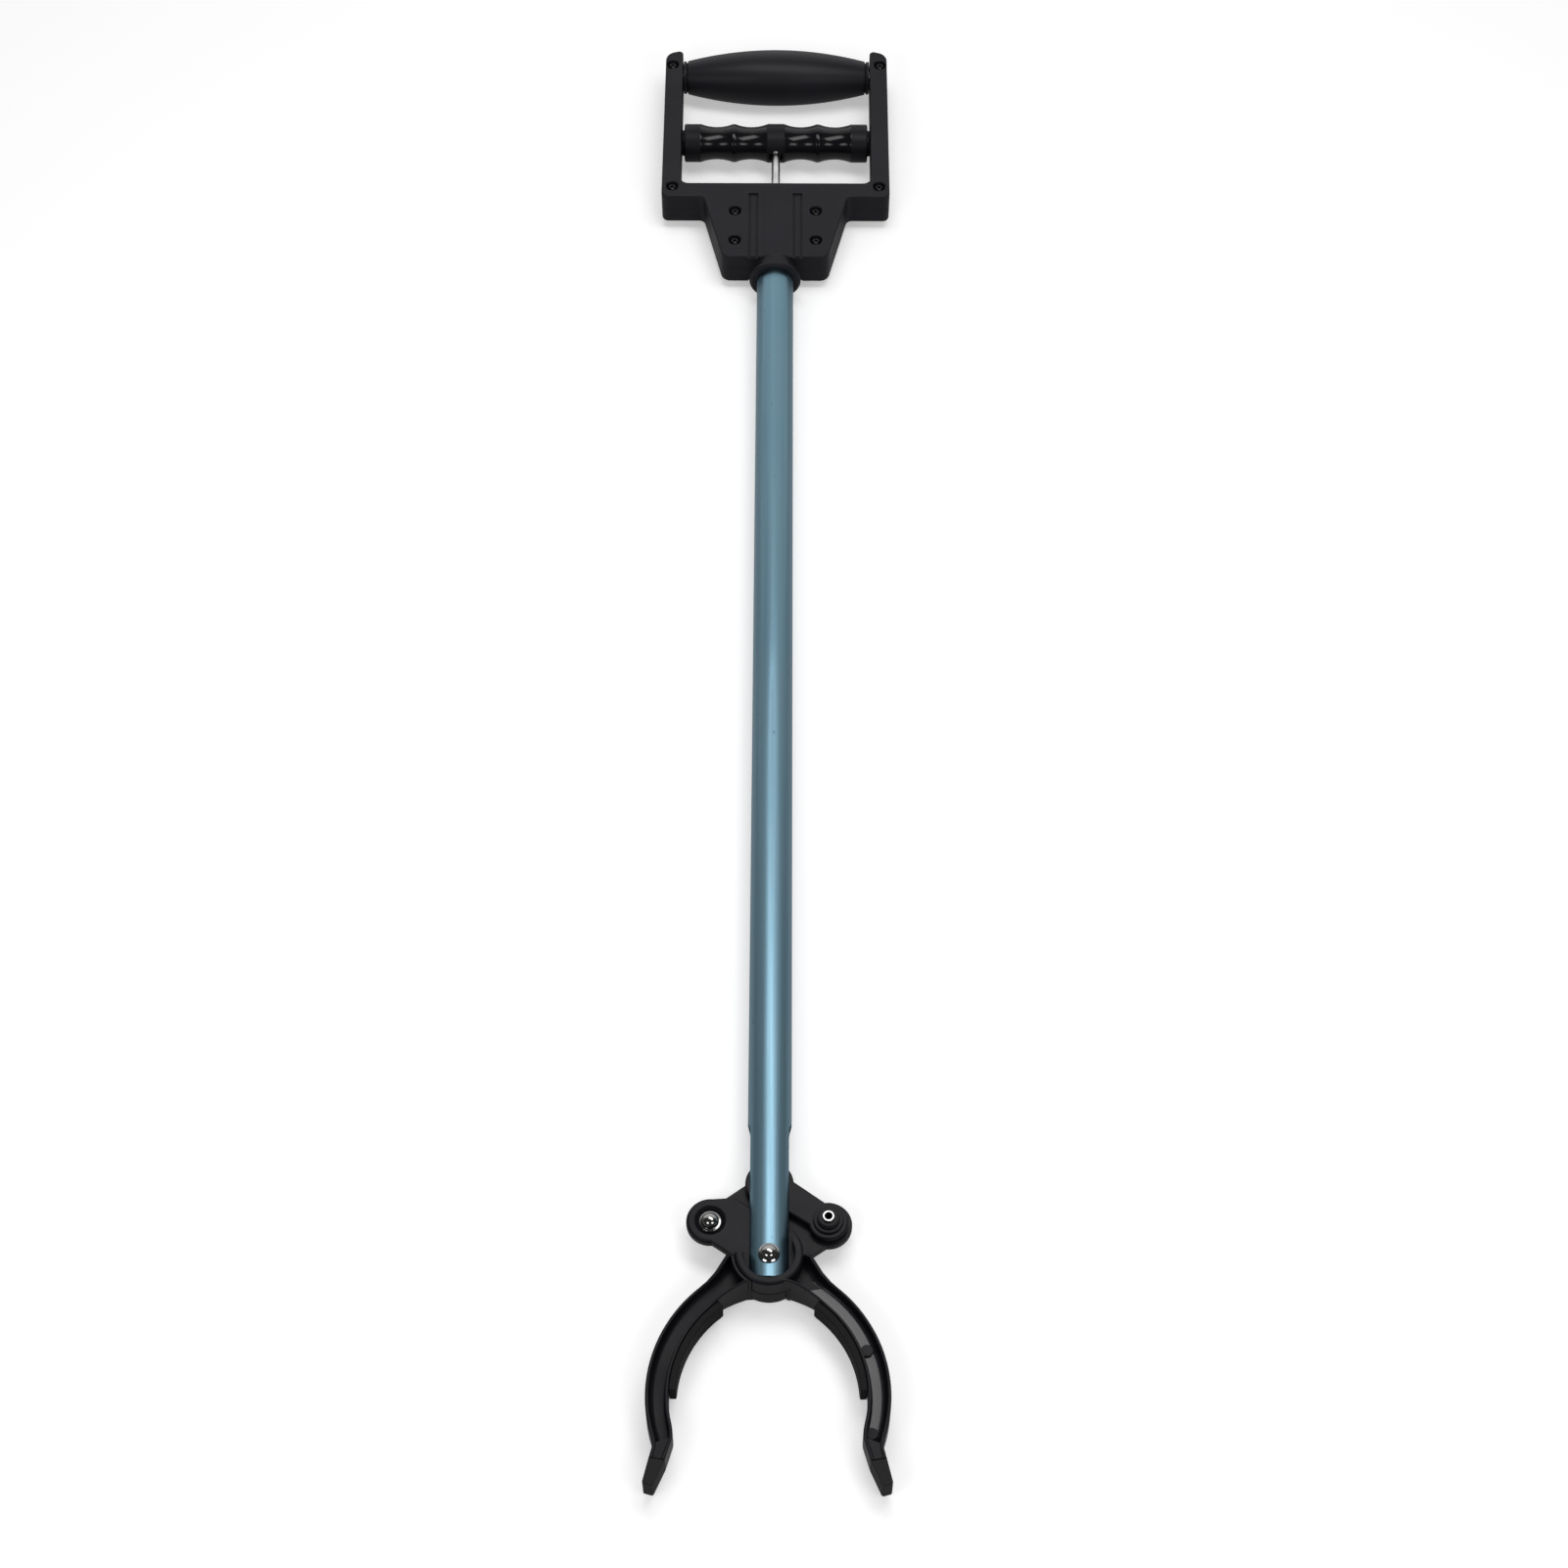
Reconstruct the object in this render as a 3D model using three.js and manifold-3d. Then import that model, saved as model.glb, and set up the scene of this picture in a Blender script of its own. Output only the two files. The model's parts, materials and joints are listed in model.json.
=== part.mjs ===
// Reacher grabber lying on its back: a squeeze handle, a long tube and a pair of crossing jaws.
// Millimetres, +X right, +Y up the tube, +Z out of the front. The drawing below has its origin on the tube
// axis at the jaws' pivot; the last step moves the whole tool so that its bounding box is centred on
// the origin.
import * as THREE from 'three';
import { mergeVertices } from 'three/examples/jsm/utils/BufferGeometryUtils.js';
import Module from 'manifold-3d';

const wasm = await Module();
wasm.setup();

// ---- driving sizes ----
const GAP = 0.3; // room left between pieces that slide or rest on each other
const TUBE_R = 11; // outside radius of the tube
const TUBE_WALL = 1.2;
const BORE_R = TUBE_R - TUBE_WALL;
const TUBE_END = -12; // open end of the tube, past the jaws' pivot
const LAYER = 4.85; // outer face of the two plate layers that cross in the tube's slot
const SPLIT = GAP / 2; // each layer and each shell half stops this far short of the middle plane
const SLOT_HALF = LAYER + 0.45;
const SLOT_TOP = 68.5; // centre of the slot's rounded end
const PIN_R = 3;
const EAR = new THREE.Vector2(29, 20); // ear pin of the right-hand side at rest
const LINK_TOP = 2 * EAR.y; // shared pivot of the two links, the far corner of the rhombus
const HANDLE_Y = 652; // lower end of the handle body
const BAR_Y = 758.7; // axis of the squeeze bar at rest
const GRIP_Y = 817; // axis of the fixed grip
const BLACK = 0x1d1d1f;

// ---- helpers ----
function manifoldOf(geometry) {
  const plain = geometry.index ? geometry.toNonIndexed() : geometry.clone();
  plain.deleteAttribute('normal');
  plain.deleteAttribute('uv');
  const welded = mergeVertices(plain, 1e-4);
  const vertProperties = new Float32Array(welded.attributes.position.array);
  const triVerts = new Uint32Array(welded.index.array);
  return new wasm.Manifold(new wasm.Mesh({ numProp: 3, vertProperties, triVerts }));
}

function geometryOf(solid) {
  const mesh = solid.getMesh();
  const geometry = new THREE.BufferGeometry();
  geometry.setAttribute('position', new THREE.BufferAttribute(new Float32Array(mesh.vertProperties), 3));
  geometry.setIndex(new THREE.BufferAttribute(new Uint32Array(mesh.triVerts), 1));
  geometry.computeVertexNormals();
  return geometry;
}

function plate(shape, low, high, curveSegments = 8) {
  const options = { depth: high - low, bevelEnabled: false, curveSegments };
  const geometry = new THREE.ExtrudeGeometry(shape, options);
  geometry.translate(0, 0, low);
  return manifoldOf(geometry);
}

// Turned solid about Z: the profile holds [radius, z] pairs and starts and ends on the axis or closes.
function turned(profile, sides = 32) {
  const points = profile.map(([radius, height]) => new THREE.Vector2(radius, height));
  const geometry = new THREE.LatheGeometry(points, sides);
  geometry.rotateX(Math.PI / 2);
  return manifoldOf(geometry);
}

function alongY(solid) {
  return solid.rotate([-90, 0, 0]);
}

function alongX(solid) {
  return solid.rotate([0, 90, 0]);
}

// Z-axis cylinder from one height to another.
function cylinder(radius, low, high, sides = 32) {
  return turned([[0, low], [radius, low], [radius, high], [0, high]], sides);
}

// Z-axis ring; the profile closes on itself.
function ring(inner, outer, low, high, sides = 32) {
  return turned([[inner, low], [outer, low], [outer, high], [inner, high], [inner, low]], sides);
}

function block(x0, x1, y0, y1, z0, z1) {
  const geometry = new THREE.BoxGeometry(x1 - x0, y1 - y0, z1 - z0);
  geometry.translate((x0 + x1) / 2, (y0 + y1) / 2, (z0 + z1) / 2);
  return manifoldOf(geometry);
}

// Closed outline through corner points [x, y, fillet radius].
function rounded(corners) {
  const shape = new THREE.Shape();
  corners.forEach(([x, y, radius], index) => {
    const before = corners[(index + corners.length - 1) % corners.length];
    const after = corners[(index + 1) % corners.length];
    const corner = new THREE.Vector2(x, y);
    const back = new THREE.Vector2(before[0] - x, before[1] - y).normalize();
    const ahead = new THREE.Vector2(after[0] - x, after[1] - y).normalize();
    const half = Math.acos(THREE.MathUtils.clamp(back.dot(ahead), -1, 1)) / 2;
    const reach = radius / Math.tan(half);
    const start = corner.clone().addScaledVector(back, reach);
    const end = corner.clone().addScaledVector(ahead, reach);
    if (index === 0) shape.moveTo(start.x, start.y);
    else shape.lineTo(start.x, start.y);
    if (radius > 0) shape.quadraticCurveTo(x, y, end.x, end.y);
  });
  shape.closePath();
  return shape;
}

function unite(solids) {
  return solids.reduce((whole, piece) => whole.add(piece));
}

function cut(solid, tools) {
  return tools.reduce((left, tool) => left.subtract(tool), solid);
}

const tool = new THREE.Group();
tool.name = 'tool';

function place(name, solid, color, roughness, metalness) {
  const material = new THREE.MeshStandardMaterial({ color, roughness, metalness });
  const mesh = new THREE.Mesh(geometryOf(solid), material);
  mesh.name = name;
  tool.add(mesh);
}

// The left-hand moving pieces are the right-hand ones turned half a turn about the tube.
function halfTurn(solid) {
  return solid.rotate([0, 180, 0]);
}

// ---- tube ----
const TUBE_TOP = 706; // upper end, inside the handle
const KEY_Y = 680; // side pins that lock the tube in the handle
const KEY_R = 2;
const tubeLength = TUBE_TOP - TUBE_END;
const slot = unite([
  block(-TUBE_R - 1, TUBE_R + 1, TUBE_END - 1, SLOT_TOP, -SLOT_HALF, SLOT_HALF),
  alongX(cylinder(SLOT_HALF, -TUBE_R - 1, TUBE_R + 1, 20)).translate([0, SLOT_TOP, 0]),
]);
// The tube's end is rounded about the jaws' pivot, so that the hubs' rims can pass round it.
const roundEnd = block(-TUBE_R - 1, TUBE_R + 1, TUBE_END - 1, 0, -TUBE_R - 1, TUBE_R + 1)
  .subtract(cylinder(-TUBE_END, -TUBE_R - 2, TUBE_R + 2, 48));
const tube = cut(alongY(ring(BORE_R, TUBE_R, 0, tubeLength, 40)).translate([0, TUBE_END, 0]), [
  slot,
  roundEnd,
  cylinder(PIN_R + 0.2, -TUBE_R - 1, TUBE_R + 1, 24),
  alongX(cylinder(KEY_R + 0.2, -TUBE_R - 1, TUBE_R + 1, 16)).translate([0, KEY_Y, 0]),
]);
place('main_tube', tube, 0x6f8ea3, 0.32, 0.75);

// ---- jaws ----
const HUB_R = 16.8;
const CUP_R = 12.6; // the hub's rim stands round the tube's rounded end
const HUB_HALF = 11.8; // half the rim's depth
const ARM_HALF = 7.4; // half the arm's depth past its root
const ARM_CENTRE = new THREE.Vector2(-12, -69.8);
const ARM_OUTER = 70.3;
const ARM_INNER = 59.2;
const EAR_R = 11.8;
const TIP_PLAY = 0.25;

function onArc(radius, degrees) {
  const turn = THREE.MathUtils.degToRad(degrees);
  return [ARM_CENTRE.x + radius * Math.cos(turn), ARM_CENTRE.y + radius * Math.sin(turn)];
}

// Adds an arc about the arm's centre; it runs clockwise when the angles fall.
function arcTo(shape, radius, from, to) {
  const start = THREE.MathUtils.degToRad(from);
  const end = THREE.MathUtils.degToRad(to);
  shape.absarc(ARM_CENTRE.x, ARM_CENTRE.y, radius, start, end, to < from);
}

function arcShape(outer, inner, from, to) {
  const shape = new THREE.Shape();
  arcTo(shape, outer, from, to);
  arcTo(shape, inner, to, from);
  shape.closePath();
  return shape;
}

const ARM_TOP = 53; // degrees about the arm's centre where the outer edge meets the root's shoulder
const ARM_FOOT = -15;
const ELBOW = [44.2, -89.6];
const CAP_IN = [48, -102.3];
const CAP_OUT = [55.6, -101];
const END_IN = [53.6, -115];
const END_OUT = [58.6, -113.6];

// Arm from the hub round to where its tip cap begins.
const armShape = new THREE.Shape();
armShape.moveTo(0, 0);
armShape.lineTo(14, -3);
armShape.lineTo(18.6, 0.3);
armShape.lineTo(20.7, -0.5);
armShape.lineTo(26.4, -9.3);
armShape.lineTo(...onArc(ARM_OUTER, ARM_TOP));
arcTo(armShape, ARM_OUTER, ARM_TOP, ARM_FOOT);
armShape.quadraticCurveTo(54.6, -92, 54.2, -95.5);
armShape.lineTo(...CAP_OUT);
armShape.lineTo(...CAP_IN);
armShape.lineTo(ELBOW[0] + 0.6, ELBOW[1] - 2);
armShape.quadraticCurveTo(...ELBOW, ELBOW[0] + 0.5, ELBOW[1] + 2.5);
armShape.lineTo(...onArc(ARM_INNER, -13));
arcTo(armShape, ARM_INNER, -13, 69.5);
armShape.closePath();

// Depth allowed at each distance from the pivot: full at the hub, tapering into the slimmer arm.
const envelope = turned([
  [0, -HUB_HALF],
  [HUB_R + 1, -HUB_HALF],
  [HUB_R + 20, -ARM_HALF],
  [150, -ARM_HALF],
  [150, ARM_HALF],
  [HUB_R + 20, ARM_HALF],
  [HUB_R + 1, HUB_HALF],
  [0, HUB_HALF],
], 48);

// Recess between the arm's two flanges; the same outline is sunk from both faces.
const WEB_HALF = 1.5;
const FLANGE = 1.9;
const BARREL_R = HUB_R + 1.5; // wall left round the hub where the recess meets it
const channelShape = new THREE.Shape();
channelShape.absarc(0, 0, BARREL_R, THREE.MathUtils.degToRad(-44), THREE.MathUtils.degToRad(-12), false);
channelShape.lineTo(19.4, -3);
channelShape.lineTo(24.7, -11);
channelShape.lineTo(...onArc(ARM_OUTER - FLANGE, ARM_TOP));
arcTo(channelShape, ARM_OUTER - FLANGE, ARM_TOP, ARM_FOOT);
channelShape.quadraticCurveTo(52.8, -91.5, 51.6, -94);
channelShape.lineTo(48, -92.4);
channelShape.lineTo(...onArc(ARM_INNER + FLANGE, ARM_FOOT));
arcTo(channelShape, ARM_INNER + FLANGE, ARM_FOOT, 66);
channelShape.closePath();

// Lever that reaches across the tube to the ear on the other side.
const leverShape = new THREE.Shape();
leverShape.moveTo(-EAR.x + 1, EAR.y + EAR_R - 0.05);
leverShape.lineTo(-17.5, 32.2);
leverShape.lineTo(-8, 26);
leverShape.lineTo(0, 20.5);
leverShape.lineTo(0, -5);
leverShape.lineTo(-11.7, -2.9);
leverShape.lineTo(-32.3, 11.3);
leverShape.closePath();

const CAP_CORE = 11; // length of the tongue inside the rubber tip cap
const TONGUE_WIDE = 1.8; // half width and half depth of the tongue
const TONGUE_DEEP = 4.5;
const between = (a, b) => new THREE.Vector2((a[0] + b[0]) / 2, (a[1] + b[1]) / 2);
const capMiddle = between(CAP_IN, CAP_OUT);
const capAxis = between(END_IN, END_OUT).sub(capMiddle).normalize();
const capAcross = new THREE.Vector2(-capAxis.y, capAxis.x);

function tongue(halfWidth, halfDepth, back, length) {
  const corners = [[-1, -back], [1, -back], [1, length], [-1, length]].map(([side, along]) => {
    const point = capMiddle.clone().addScaledVector(capAxis, along);
    point.addScaledVector(capAcross, side * halfWidth);
    return [point.x, point.y, 0];
  });
  return plate(rounded(corners), -halfDepth, halfDepth);
}

// Low round boss that stands on one face of the arm's web, nearer its inner edge.
const BOSS_R = 3;
const BOSS_TOP = WEB_HALF + 1.3;
const BOSS_INWARD = 1.2;
function armBoss(degrees) {
  const [x, y] = onArc((ARM_OUTER + ARM_INNER) / 2 - BOSS_INWARD, degrees);
  return cylinder(BOSS_R, 0, BOSS_TOP, 16).translate([x, y, 0]);
}

function rightJaw() {
  const arm = cut(plate(armShape, -HUB_HALF, HUB_HALF, 14).intersect(envelope), [
    plate(channelShape, WEB_HALF, HUB_HALF + 1, 12),
    plate(channelShape, -HUB_HALF - 1, -WEB_HALF, 12),
    cylinder(HUB_R + 0.4, -HUB_HALF - 1, SPLIT, 40),
    cylinder(CUP_R, LAYER, HUB_HALF + 1, 40),
  ]);
  const besideTube = block(-20, TUBE_R + 0.4, 1.5, 20, LAYER, 20);
  const rim = ring(CUP_R, HUB_R, SPLIT, HUB_HALF, 40).subtract(besideTube);
  const lever = unite([
    cylinder(HUB_R, SPLIT, LAYER, 40),
    cylinder(EAR_R, SPLIT, LAYER, 32).translate([-EAR.x, EAR.y, 0]),
    plate(leverShape, SPLIT, LAYER),
  ]);
  const core = tongue(TONGUE_WIDE, TONGUE_DEEP, 1, CAP_CORE);
  const rough = unite([arm, rim, lever, armBoss(21.5), armBoss(-16.5), core]);
  return cut(rough, [
    cylinder(PIN_R + 0.2, -20, 20, 24),
    cylinder(PIN_R + 0.2, -20, 20, 24).translate([-EAR.x, EAR.y, 0]),
    turned([[0, 2.2], [5.9, 2.2], [7.9, LAYER + 0.1], [0, LAYER + 0.1]], 28).translate([-EAR.x, EAR.y, 0]),
  ]);
}

const rightJawSolid = rightJaw();
place('right_jaw', rightJawSolid, BLACK, 0.5, 0);
place('left_jaw', halfTurn(rightJawSolid), BLACK, 0.5, 0);

// Rubber pads on the inside of the arms.
const PAD_THICK = 3.6;
const PAD_HALF = 6.6;
const padShape = arcShape(ARM_INNER - 0.2, ARM_INNER - PAD_THICK, 52.5, 2.2);
const padSolid = plate(padShape, -PAD_HALF, PAD_HALF, 14);
place('right_grip_pad', padSolid, 0x161617, 0.85, 0);
place('left_grip_pad', halfTurn(padSolid), 0x161617, 0.85, 0);

// Rubber caps over the tips.
const capCorners = [CAP_IN, CAP_OUT, END_OUT, END_IN].map(([x, y], index) => {
  const atArm = index < 2; // the two corners that meet the arm stay sharp
  const setBack = atArm ? 0.2 : 0;
  return [x + capAxis.x * setBack, y + capAxis.y * setBack, atArm ? 0 : 0.8];
});
const capSolid = plate(rounded(capCorners), -ARM_HALF, ARM_HALF, 4)
  .subtract(tongue(TONGUE_WIDE + TIP_PLAY, TONGUE_DEEP + TIP_PLAY, 2, CAP_CORE + TIP_PLAY));
place('right_tip_cap', capSolid, 0x2a2a2c, 0.7, 0);
place('left_tip_cap', halfTurn(capSolid), 0x2a2a2c, 0.7, 0);

// Rivets at the ears: a domed head over a collar, and a hollow far end.
const EAR_TAIL = -10.4;
const earRivet = turned([
  [0, EAR_TAIL + 5],
  [1.9, EAR_TAIL + 5],
  [1.9, EAR_TAIL],
  [PIN_R, EAR_TAIL],
  [PIN_R, 2.5],
  [5.5, 2.5],
  [5.5, 3.4],
  [4.5, 3.7],
  [4.2, 4.9],
  [3.3, 6.1],
  [1.8, 6.9],
  [0, 7.2],
], 24);
const leftEarRivet = earRivet.translate([-EAR.x, EAR.y, 0]);
place('left_ear_rivet', leftEarRivet, 0xc9c9cc, 0.15, 1);
place('right_ear_rivet', halfTurn(leftEarRivet), 0xc9c9cc, 0.15, 1);

// Main pivot pin through tube and both hubs; its head is saddled over the tube's round wall.
const pinHead = turned([
  [0, 8],
  [5.3, 8],
  [5.3, 11.4],
  [4.9, 12.6],
  [3.9, 13.7],
  [2.2, 14.4],
  [0, 14.6],
], 28).subtract(alongY(cylinder(TUBE_R + 0.1, -10, 10, 40)));
const pinShank = turned([
  [0, -8],
  [1.9, -8],
  [1.9, -13.2],
  [4.1, -13.2],
  [4.1, -11.9],
  [PIN_R, -11.3],
  [PIN_R, 12],
  [0, 12],
], 24);
place('main_pivot_pin', pinHead.add(pinShank), 0xc9c9cc, 0.15, 1);

// ---- links ----
const LINK_END_R = 12;
const LINK_EAR_R = 9.8;
const EYE_R = PIN_R + 1.05; // a slack eye takes up the small error of a straight-line coupling
const linkLength = EAR.length();
const linkBar = new THREE.Shape();
linkBar.moveTo(0, 7.8);
linkBar.lineTo(linkLength, 6.8);
linkBar.lineTo(linkLength, -6.8);
linkBar.lineTo(0, -7.8);
linkBar.closePath();
const CLEVIS_PIN_R = 2.5;
const linkAlongX = cut(unite([
  plate(linkBar, SPLIT, LAYER),
  cylinder(LINK_END_R, SPLIT, LAYER, 32),
  cylinder(LINK_EAR_R, SPLIT, LAYER, 32).translate([linkLength, 0, 0]),
  cylinder(7.4, SPLIT, LAYER + 1.6, 28).translate([linkLength, 0, 0]),
  cylinder(5.6, SPLIT, LAYER + 3.4, 28).translate([linkLength, 0, 0]),
]), [
  cylinder(CLEVIS_PIN_R + 0.25, -1, 10, 20),
  cylinder(EYE_R, -1, 20, 20).translate([linkLength, 0, 0]),
]);
const linkAngle = THREE.MathUtils.radToDeg(Math.atan2(-EAR.y, EAR.x));
const rightLink = linkAlongX.rotate([0, 0, linkAngle]).translate([0, LINK_TOP, 0]);
place('right_link', rightLink, BLACK, 0.5, 0);
place('left_link', halfTurn(rightLink), BLACK, 0.5, 0);

// ---- pull train ----
const SLIDE_R = BORE_R - 0.35;
const CHEEK_LOW = LINK_TOP - 7.5;
const CLEVIS_FLOOR = LINK_TOP + LINK_END_R + 1;
const CLEVIS_TOP = CLEVIS_FLOOR + 11;
const ROD_R = 2.6;
const clevis = cut(alongY(cylinder(SLIDE_R, CHEEK_LOW, CLEVIS_TOP, 32)), [
  block(-20, 20, CHEEK_LOW - 1, CLEVIS_FLOOR, -LAYER - 0.25, LAYER + 0.25),
  cylinder(CLEVIS_PIN_R + 0.2, -12, 12, 20).translate([0, LINK_TOP, 0]),
  alongY(cylinder(ROD_R + 0.2, CLEVIS_FLOOR + 2, CLEVIS_TOP + 1, 20)),
]);
place('rod_end_clevis', clevis, 0x242426, 0.55, 0);
const clevisPin = cylinder(CLEVIS_PIN_R, -9, 9, 20).translate([0, LINK_TOP, 0]);
place('clevis_pin', clevisPin, 0xb9babd, 0.3, 1);

const ROD_LOW = CLEVIS_FLOOR + 3;
const ROD_HIGH = BAR_Y + 5;
place('pull_rod', alongY(cylinder(ROD_R, ROD_LOW, ROD_HIGH, 20)), 0xc4c6c9, 0.25, 1);

// Guides and return spring inside the tube.
const GUIDE_Y = 90;
const lowGuide = alongY(ring(ROD_R + 0.4, BORE_R - 0.2, GUIDE_Y, GUIDE_Y + 8, 28));
place('lower_rod_guide', lowGuide, 0x242426, 0.6, 0);
const SPRING_LOW = 598;
const SPRING_HIGH = 652;
const WIRE_R = 0.8;
const COIL_R = 6.4;
const TURNS = 8;
const collarSolid = alongY(ring(ROD_R + 0.15, BORE_R - 0.6, SPRING_LOW - 5, SPRING_LOW, 28));
place('spring_collar', collarSolid, 0x9a9ca0, 0.35, 1);
const seatSolid = alongY(ring(ROD_R + 0.4, BORE_R - 0.2, SPRING_HIGH, SPRING_HIGH + 5, 28));
place('spring_seat', seatSolid, 0x242426, 0.6, 0);

class Coil extends THREE.Curve {
  getPoint(t, target = new THREE.Vector3()) {
    const turn = 2 * Math.PI * TURNS * t;
    const low = SPRING_LOW + WIRE_R + GAP;
    const high = SPRING_HIGH - WIRE_R - GAP;
    return target.set(COIL_R * Math.cos(turn), low + (high - low) * t, COIL_R * Math.sin(turn));
  }
}
const wire = new THREE.Shape();
wire.absarc(0, 0, WIRE_R, 0, 2 * Math.PI, false);
const coilOptions = { steps: TURNS * 10, curveSegments: 3, bevelEnabled: false, extrudePath: new Coil() };
const spring = manifoldOf(new THREE.ExtrudeGeometry(wire, coilOptions));
place('return_spring', spring, 0xa8aaad, 0.3, 1);

// Plug in the tube's upper end, guiding the rod.
const plug = alongY(turned([
  [ROD_R + 0.4, TUBE_TOP - 16],
  [BORE_R - 0.2, TUBE_TOP - 16],
  [BORE_R - 0.2, TUBE_TOP + 0.2],
  [TUBE_R - 0.2, TUBE_TOP + 0.2],
  [TUBE_R - 0.2, TUBE_TOP + 2.2],
  [ROD_R + 0.4, TUBE_TOP + 2.2],
  [ROD_R + 0.4, TUBE_TOP - 16],
], 28)).subtract(alongX(cylinder(KEY_R + 0.3, -15, 15, 16)).translate([0, KEY_Y, 0]));
place('upper_rod_guide', plug, 0x242426, 0.6, 0);

// ---- handle shells ----
const SHELL_HALF = 11;
const POST_IN = 59;
const POST_OUT = 70.5;
const POST_TOP = 829.6;
const SHOULDER_Y = 702;
const WINDOW_Y = 714;
const shellShape = rounded([
  [POST_OUT, SHOULDER_Y, 4],
  [POST_OUT, POST_TOP - 2, 7],
  [POST_IN + 0.6, POST_TOP + 1, 2.5],
  [POST_IN, WINDOW_Y, 5],
  [-POST_IN, WINDOW_Y, 5],
  [-POST_IN - 0.6, POST_TOP + 1, 2.5],
  [-POST_OUT, POST_TOP - 2, 7],
  [-POST_OUT, SHOULDER_Y, 4],
  [-44.5, SHOULDER_Y, 4],
  [-32, HANDLE_Y, 6],
  [32, HANDLE_Y, 6],
  [44.5, SHOULDER_Y, 4],
]);
const SCREWS = [[66, 817.5], [64, 711], [24.8, 690.3], [24.8, 666]];
const screwSpots = SCREWS.flatMap(([x, y]) => [[-x, y], [x, y]]);
const SCREW_SEAT = 8.2;
const RIDGE_HALF = 10.6;
const RIDGE_R = 26;
const RIDGE_TOP = 12.4;
const STRIP_WIDE = 6;
const STRIP_DEEP = 1.4;
const NECK_LONG = 7.8; // round neck between the body and the tube's collar
const NECK_R = 12.4;
const BAR_TRAVEL = 21.1;
const GROOVE_HALF = 4.2;
const GROOVE_IN = 64.4; // floor of the grooves that guide the bar's ends
const GROOVE_END = 7.9; // room past the bar's axis at either end of its travel
const SCREW_SHANK_R = 1.5;
const SCREW_HEAD_R = 3.2;
const POST_WALL_BOTTOM = 8; // depth at which the rear half's blind screw holes stop
const pocketShape = rounded([
  [31, SHOULDER_Y - 3, 2],
  [31, HANDLE_Y + 17, 2],
  [36.5, HANDLE_Y + 36, 2],
  [39.5, SHOULDER_Y + 5, 2],
  [31, SHOULDER_Y + 5, 2],
]);

function shellHalf(withHeads) {
  const ridge = alongY(cylinder(RIDGE_R, HANDLE_Y, WINDOW_Y, 64))
    .translate([0, 0, RIDGE_TOP - RIDGE_R])
    .intersect(block(-RIDGE_HALF, RIDGE_HALF, HANDLE_Y, WINDOW_Y, 1, 20));
  const strips = [-1, 1].map((side) => {
    const middle = side * (RIDGE_HALF + STRIP_WIDE / 2);
    const low = middle - STRIP_WIDE / 2;
    const floor = SHELL_HALF - STRIP_DEEP;
    return block(low, low + STRIP_WIDE, HANDLE_Y - 1, SHOULDER_Y + 3, floor, SHELL_HALF + 1);
  });
  const holes = screwSpots.map(([x, y]) => {
    const shank = cylinder(SCREW_SHANK_R + 0.25, -1, withHeads ? SHELL_HALF + 1 : POST_WALL_BOTTOM, 12);
    const hole = withHeads ? shank.add(cylinder(SCREW_HEAD_R + 0.6, SCREW_SEAT, SHELL_HALF + 1, 20)) : shank;
    return hole.translate([x, y, 0]);
  });
  const grooves = [-1, 1].map((side) => {
    const low = BAR_Y - GROOVE_END;
    const high = BAR_Y + BAR_TRAVEL + GROOVE_END;
    return side > 0
      ? block(POST_IN - 1, GROOVE_IN, low, high, -1, GROOVE_HALF)
      : block(-GROOVE_IN, -POST_IN + 1, low, high, -1, GROOVE_HALF);
  });
  const pocket = plate(pocketShape, -1, SHELL_HALF - 2.4, 4);
  const otherHalf = block(-20, 20, HANDLE_Y - 20, HANDLE_Y + 20, -20, SPLIT);
  const neck = alongY(cylinder(NECK_R, HANDLE_Y - NECK_LONG, HANDLE_Y + 2, 40)).subtract(otherHalf);
  const body = plate(shellShape, SPLIT, SHELL_HALF, 5);
  return cut(body.subtract(unite(strips)).add(ridge).add(neck), [
    alongY(cylinder(TUBE_R + 0.15, HANDLE_Y - NECK_LONG - 1, TUBE_TOP + 2.7, 40)),
    alongY(cylinder(ROD_R + 0.6, HANDLE_Y, WINDOW_Y + 5, 20)),
    alongX(cylinder(4.5, -63.8, 63.8, 20)).translate([0, GRIP_Y, 0]),
    alongX(cylinder(KEY_R + 0.2, -18, 18, 16)).translate([0, KEY_Y, 0]),
    pocket,
    pocket.mirror([1, 0, 0]),
    ...holes,
    ...grooves,
  ]);
}

const frontShell = shellHalf(true);
place('front_handle_shell', frontShell, BLACK, 0.48, 0);
place('rear_handle_shell', halfTurn(shellHalf(false)), BLACK, 0.48, 0);

for (const [index, side] of [-1, 1].entries()) {
  const key = alongX(cylinder(KEY_R, 9.4, 17, 16)).rotate([0, side > 0 ? 0 : 180, 0]);
  place(`tube_key_pin_${index + 1}`, key.translate([0, KEY_Y, 0]), 0xb9babd, 0.3, 1);
}

const screwSolid = cut(turned([
  [0, -7],
  [SCREW_SHANK_R, -6],
  [SCREW_SHANK_R, SCREW_SEAT + 0.2],
  [SCREW_HEAD_R, SCREW_SEAT + 0.2],
  [SCREW_HEAD_R, SCREW_SEAT + 1.2],
  [2.2, SCREW_SEAT + 1.9],
  [0, SCREW_SEAT + 2.1],
], 16), [
  block(-1.9, 1.9, -0.42, 0.42, SCREW_SEAT + 0.9, 12),
  block(-0.42, 0.42, -1.9, 1.9, SCREW_SEAT + 0.9, 12),
]);
screwSpots.forEach(([x, y], index) => {
  const turn = 25 + 37 * index; // every screw stops at its own angle
  const screw = screwSolid.rotate([0, 0, turn]).translate([x, y, 0]);
  place(`shell_screw_${index + 1}`, screw, 0x2b2b2e, 0.3, 0.9);
});

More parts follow.
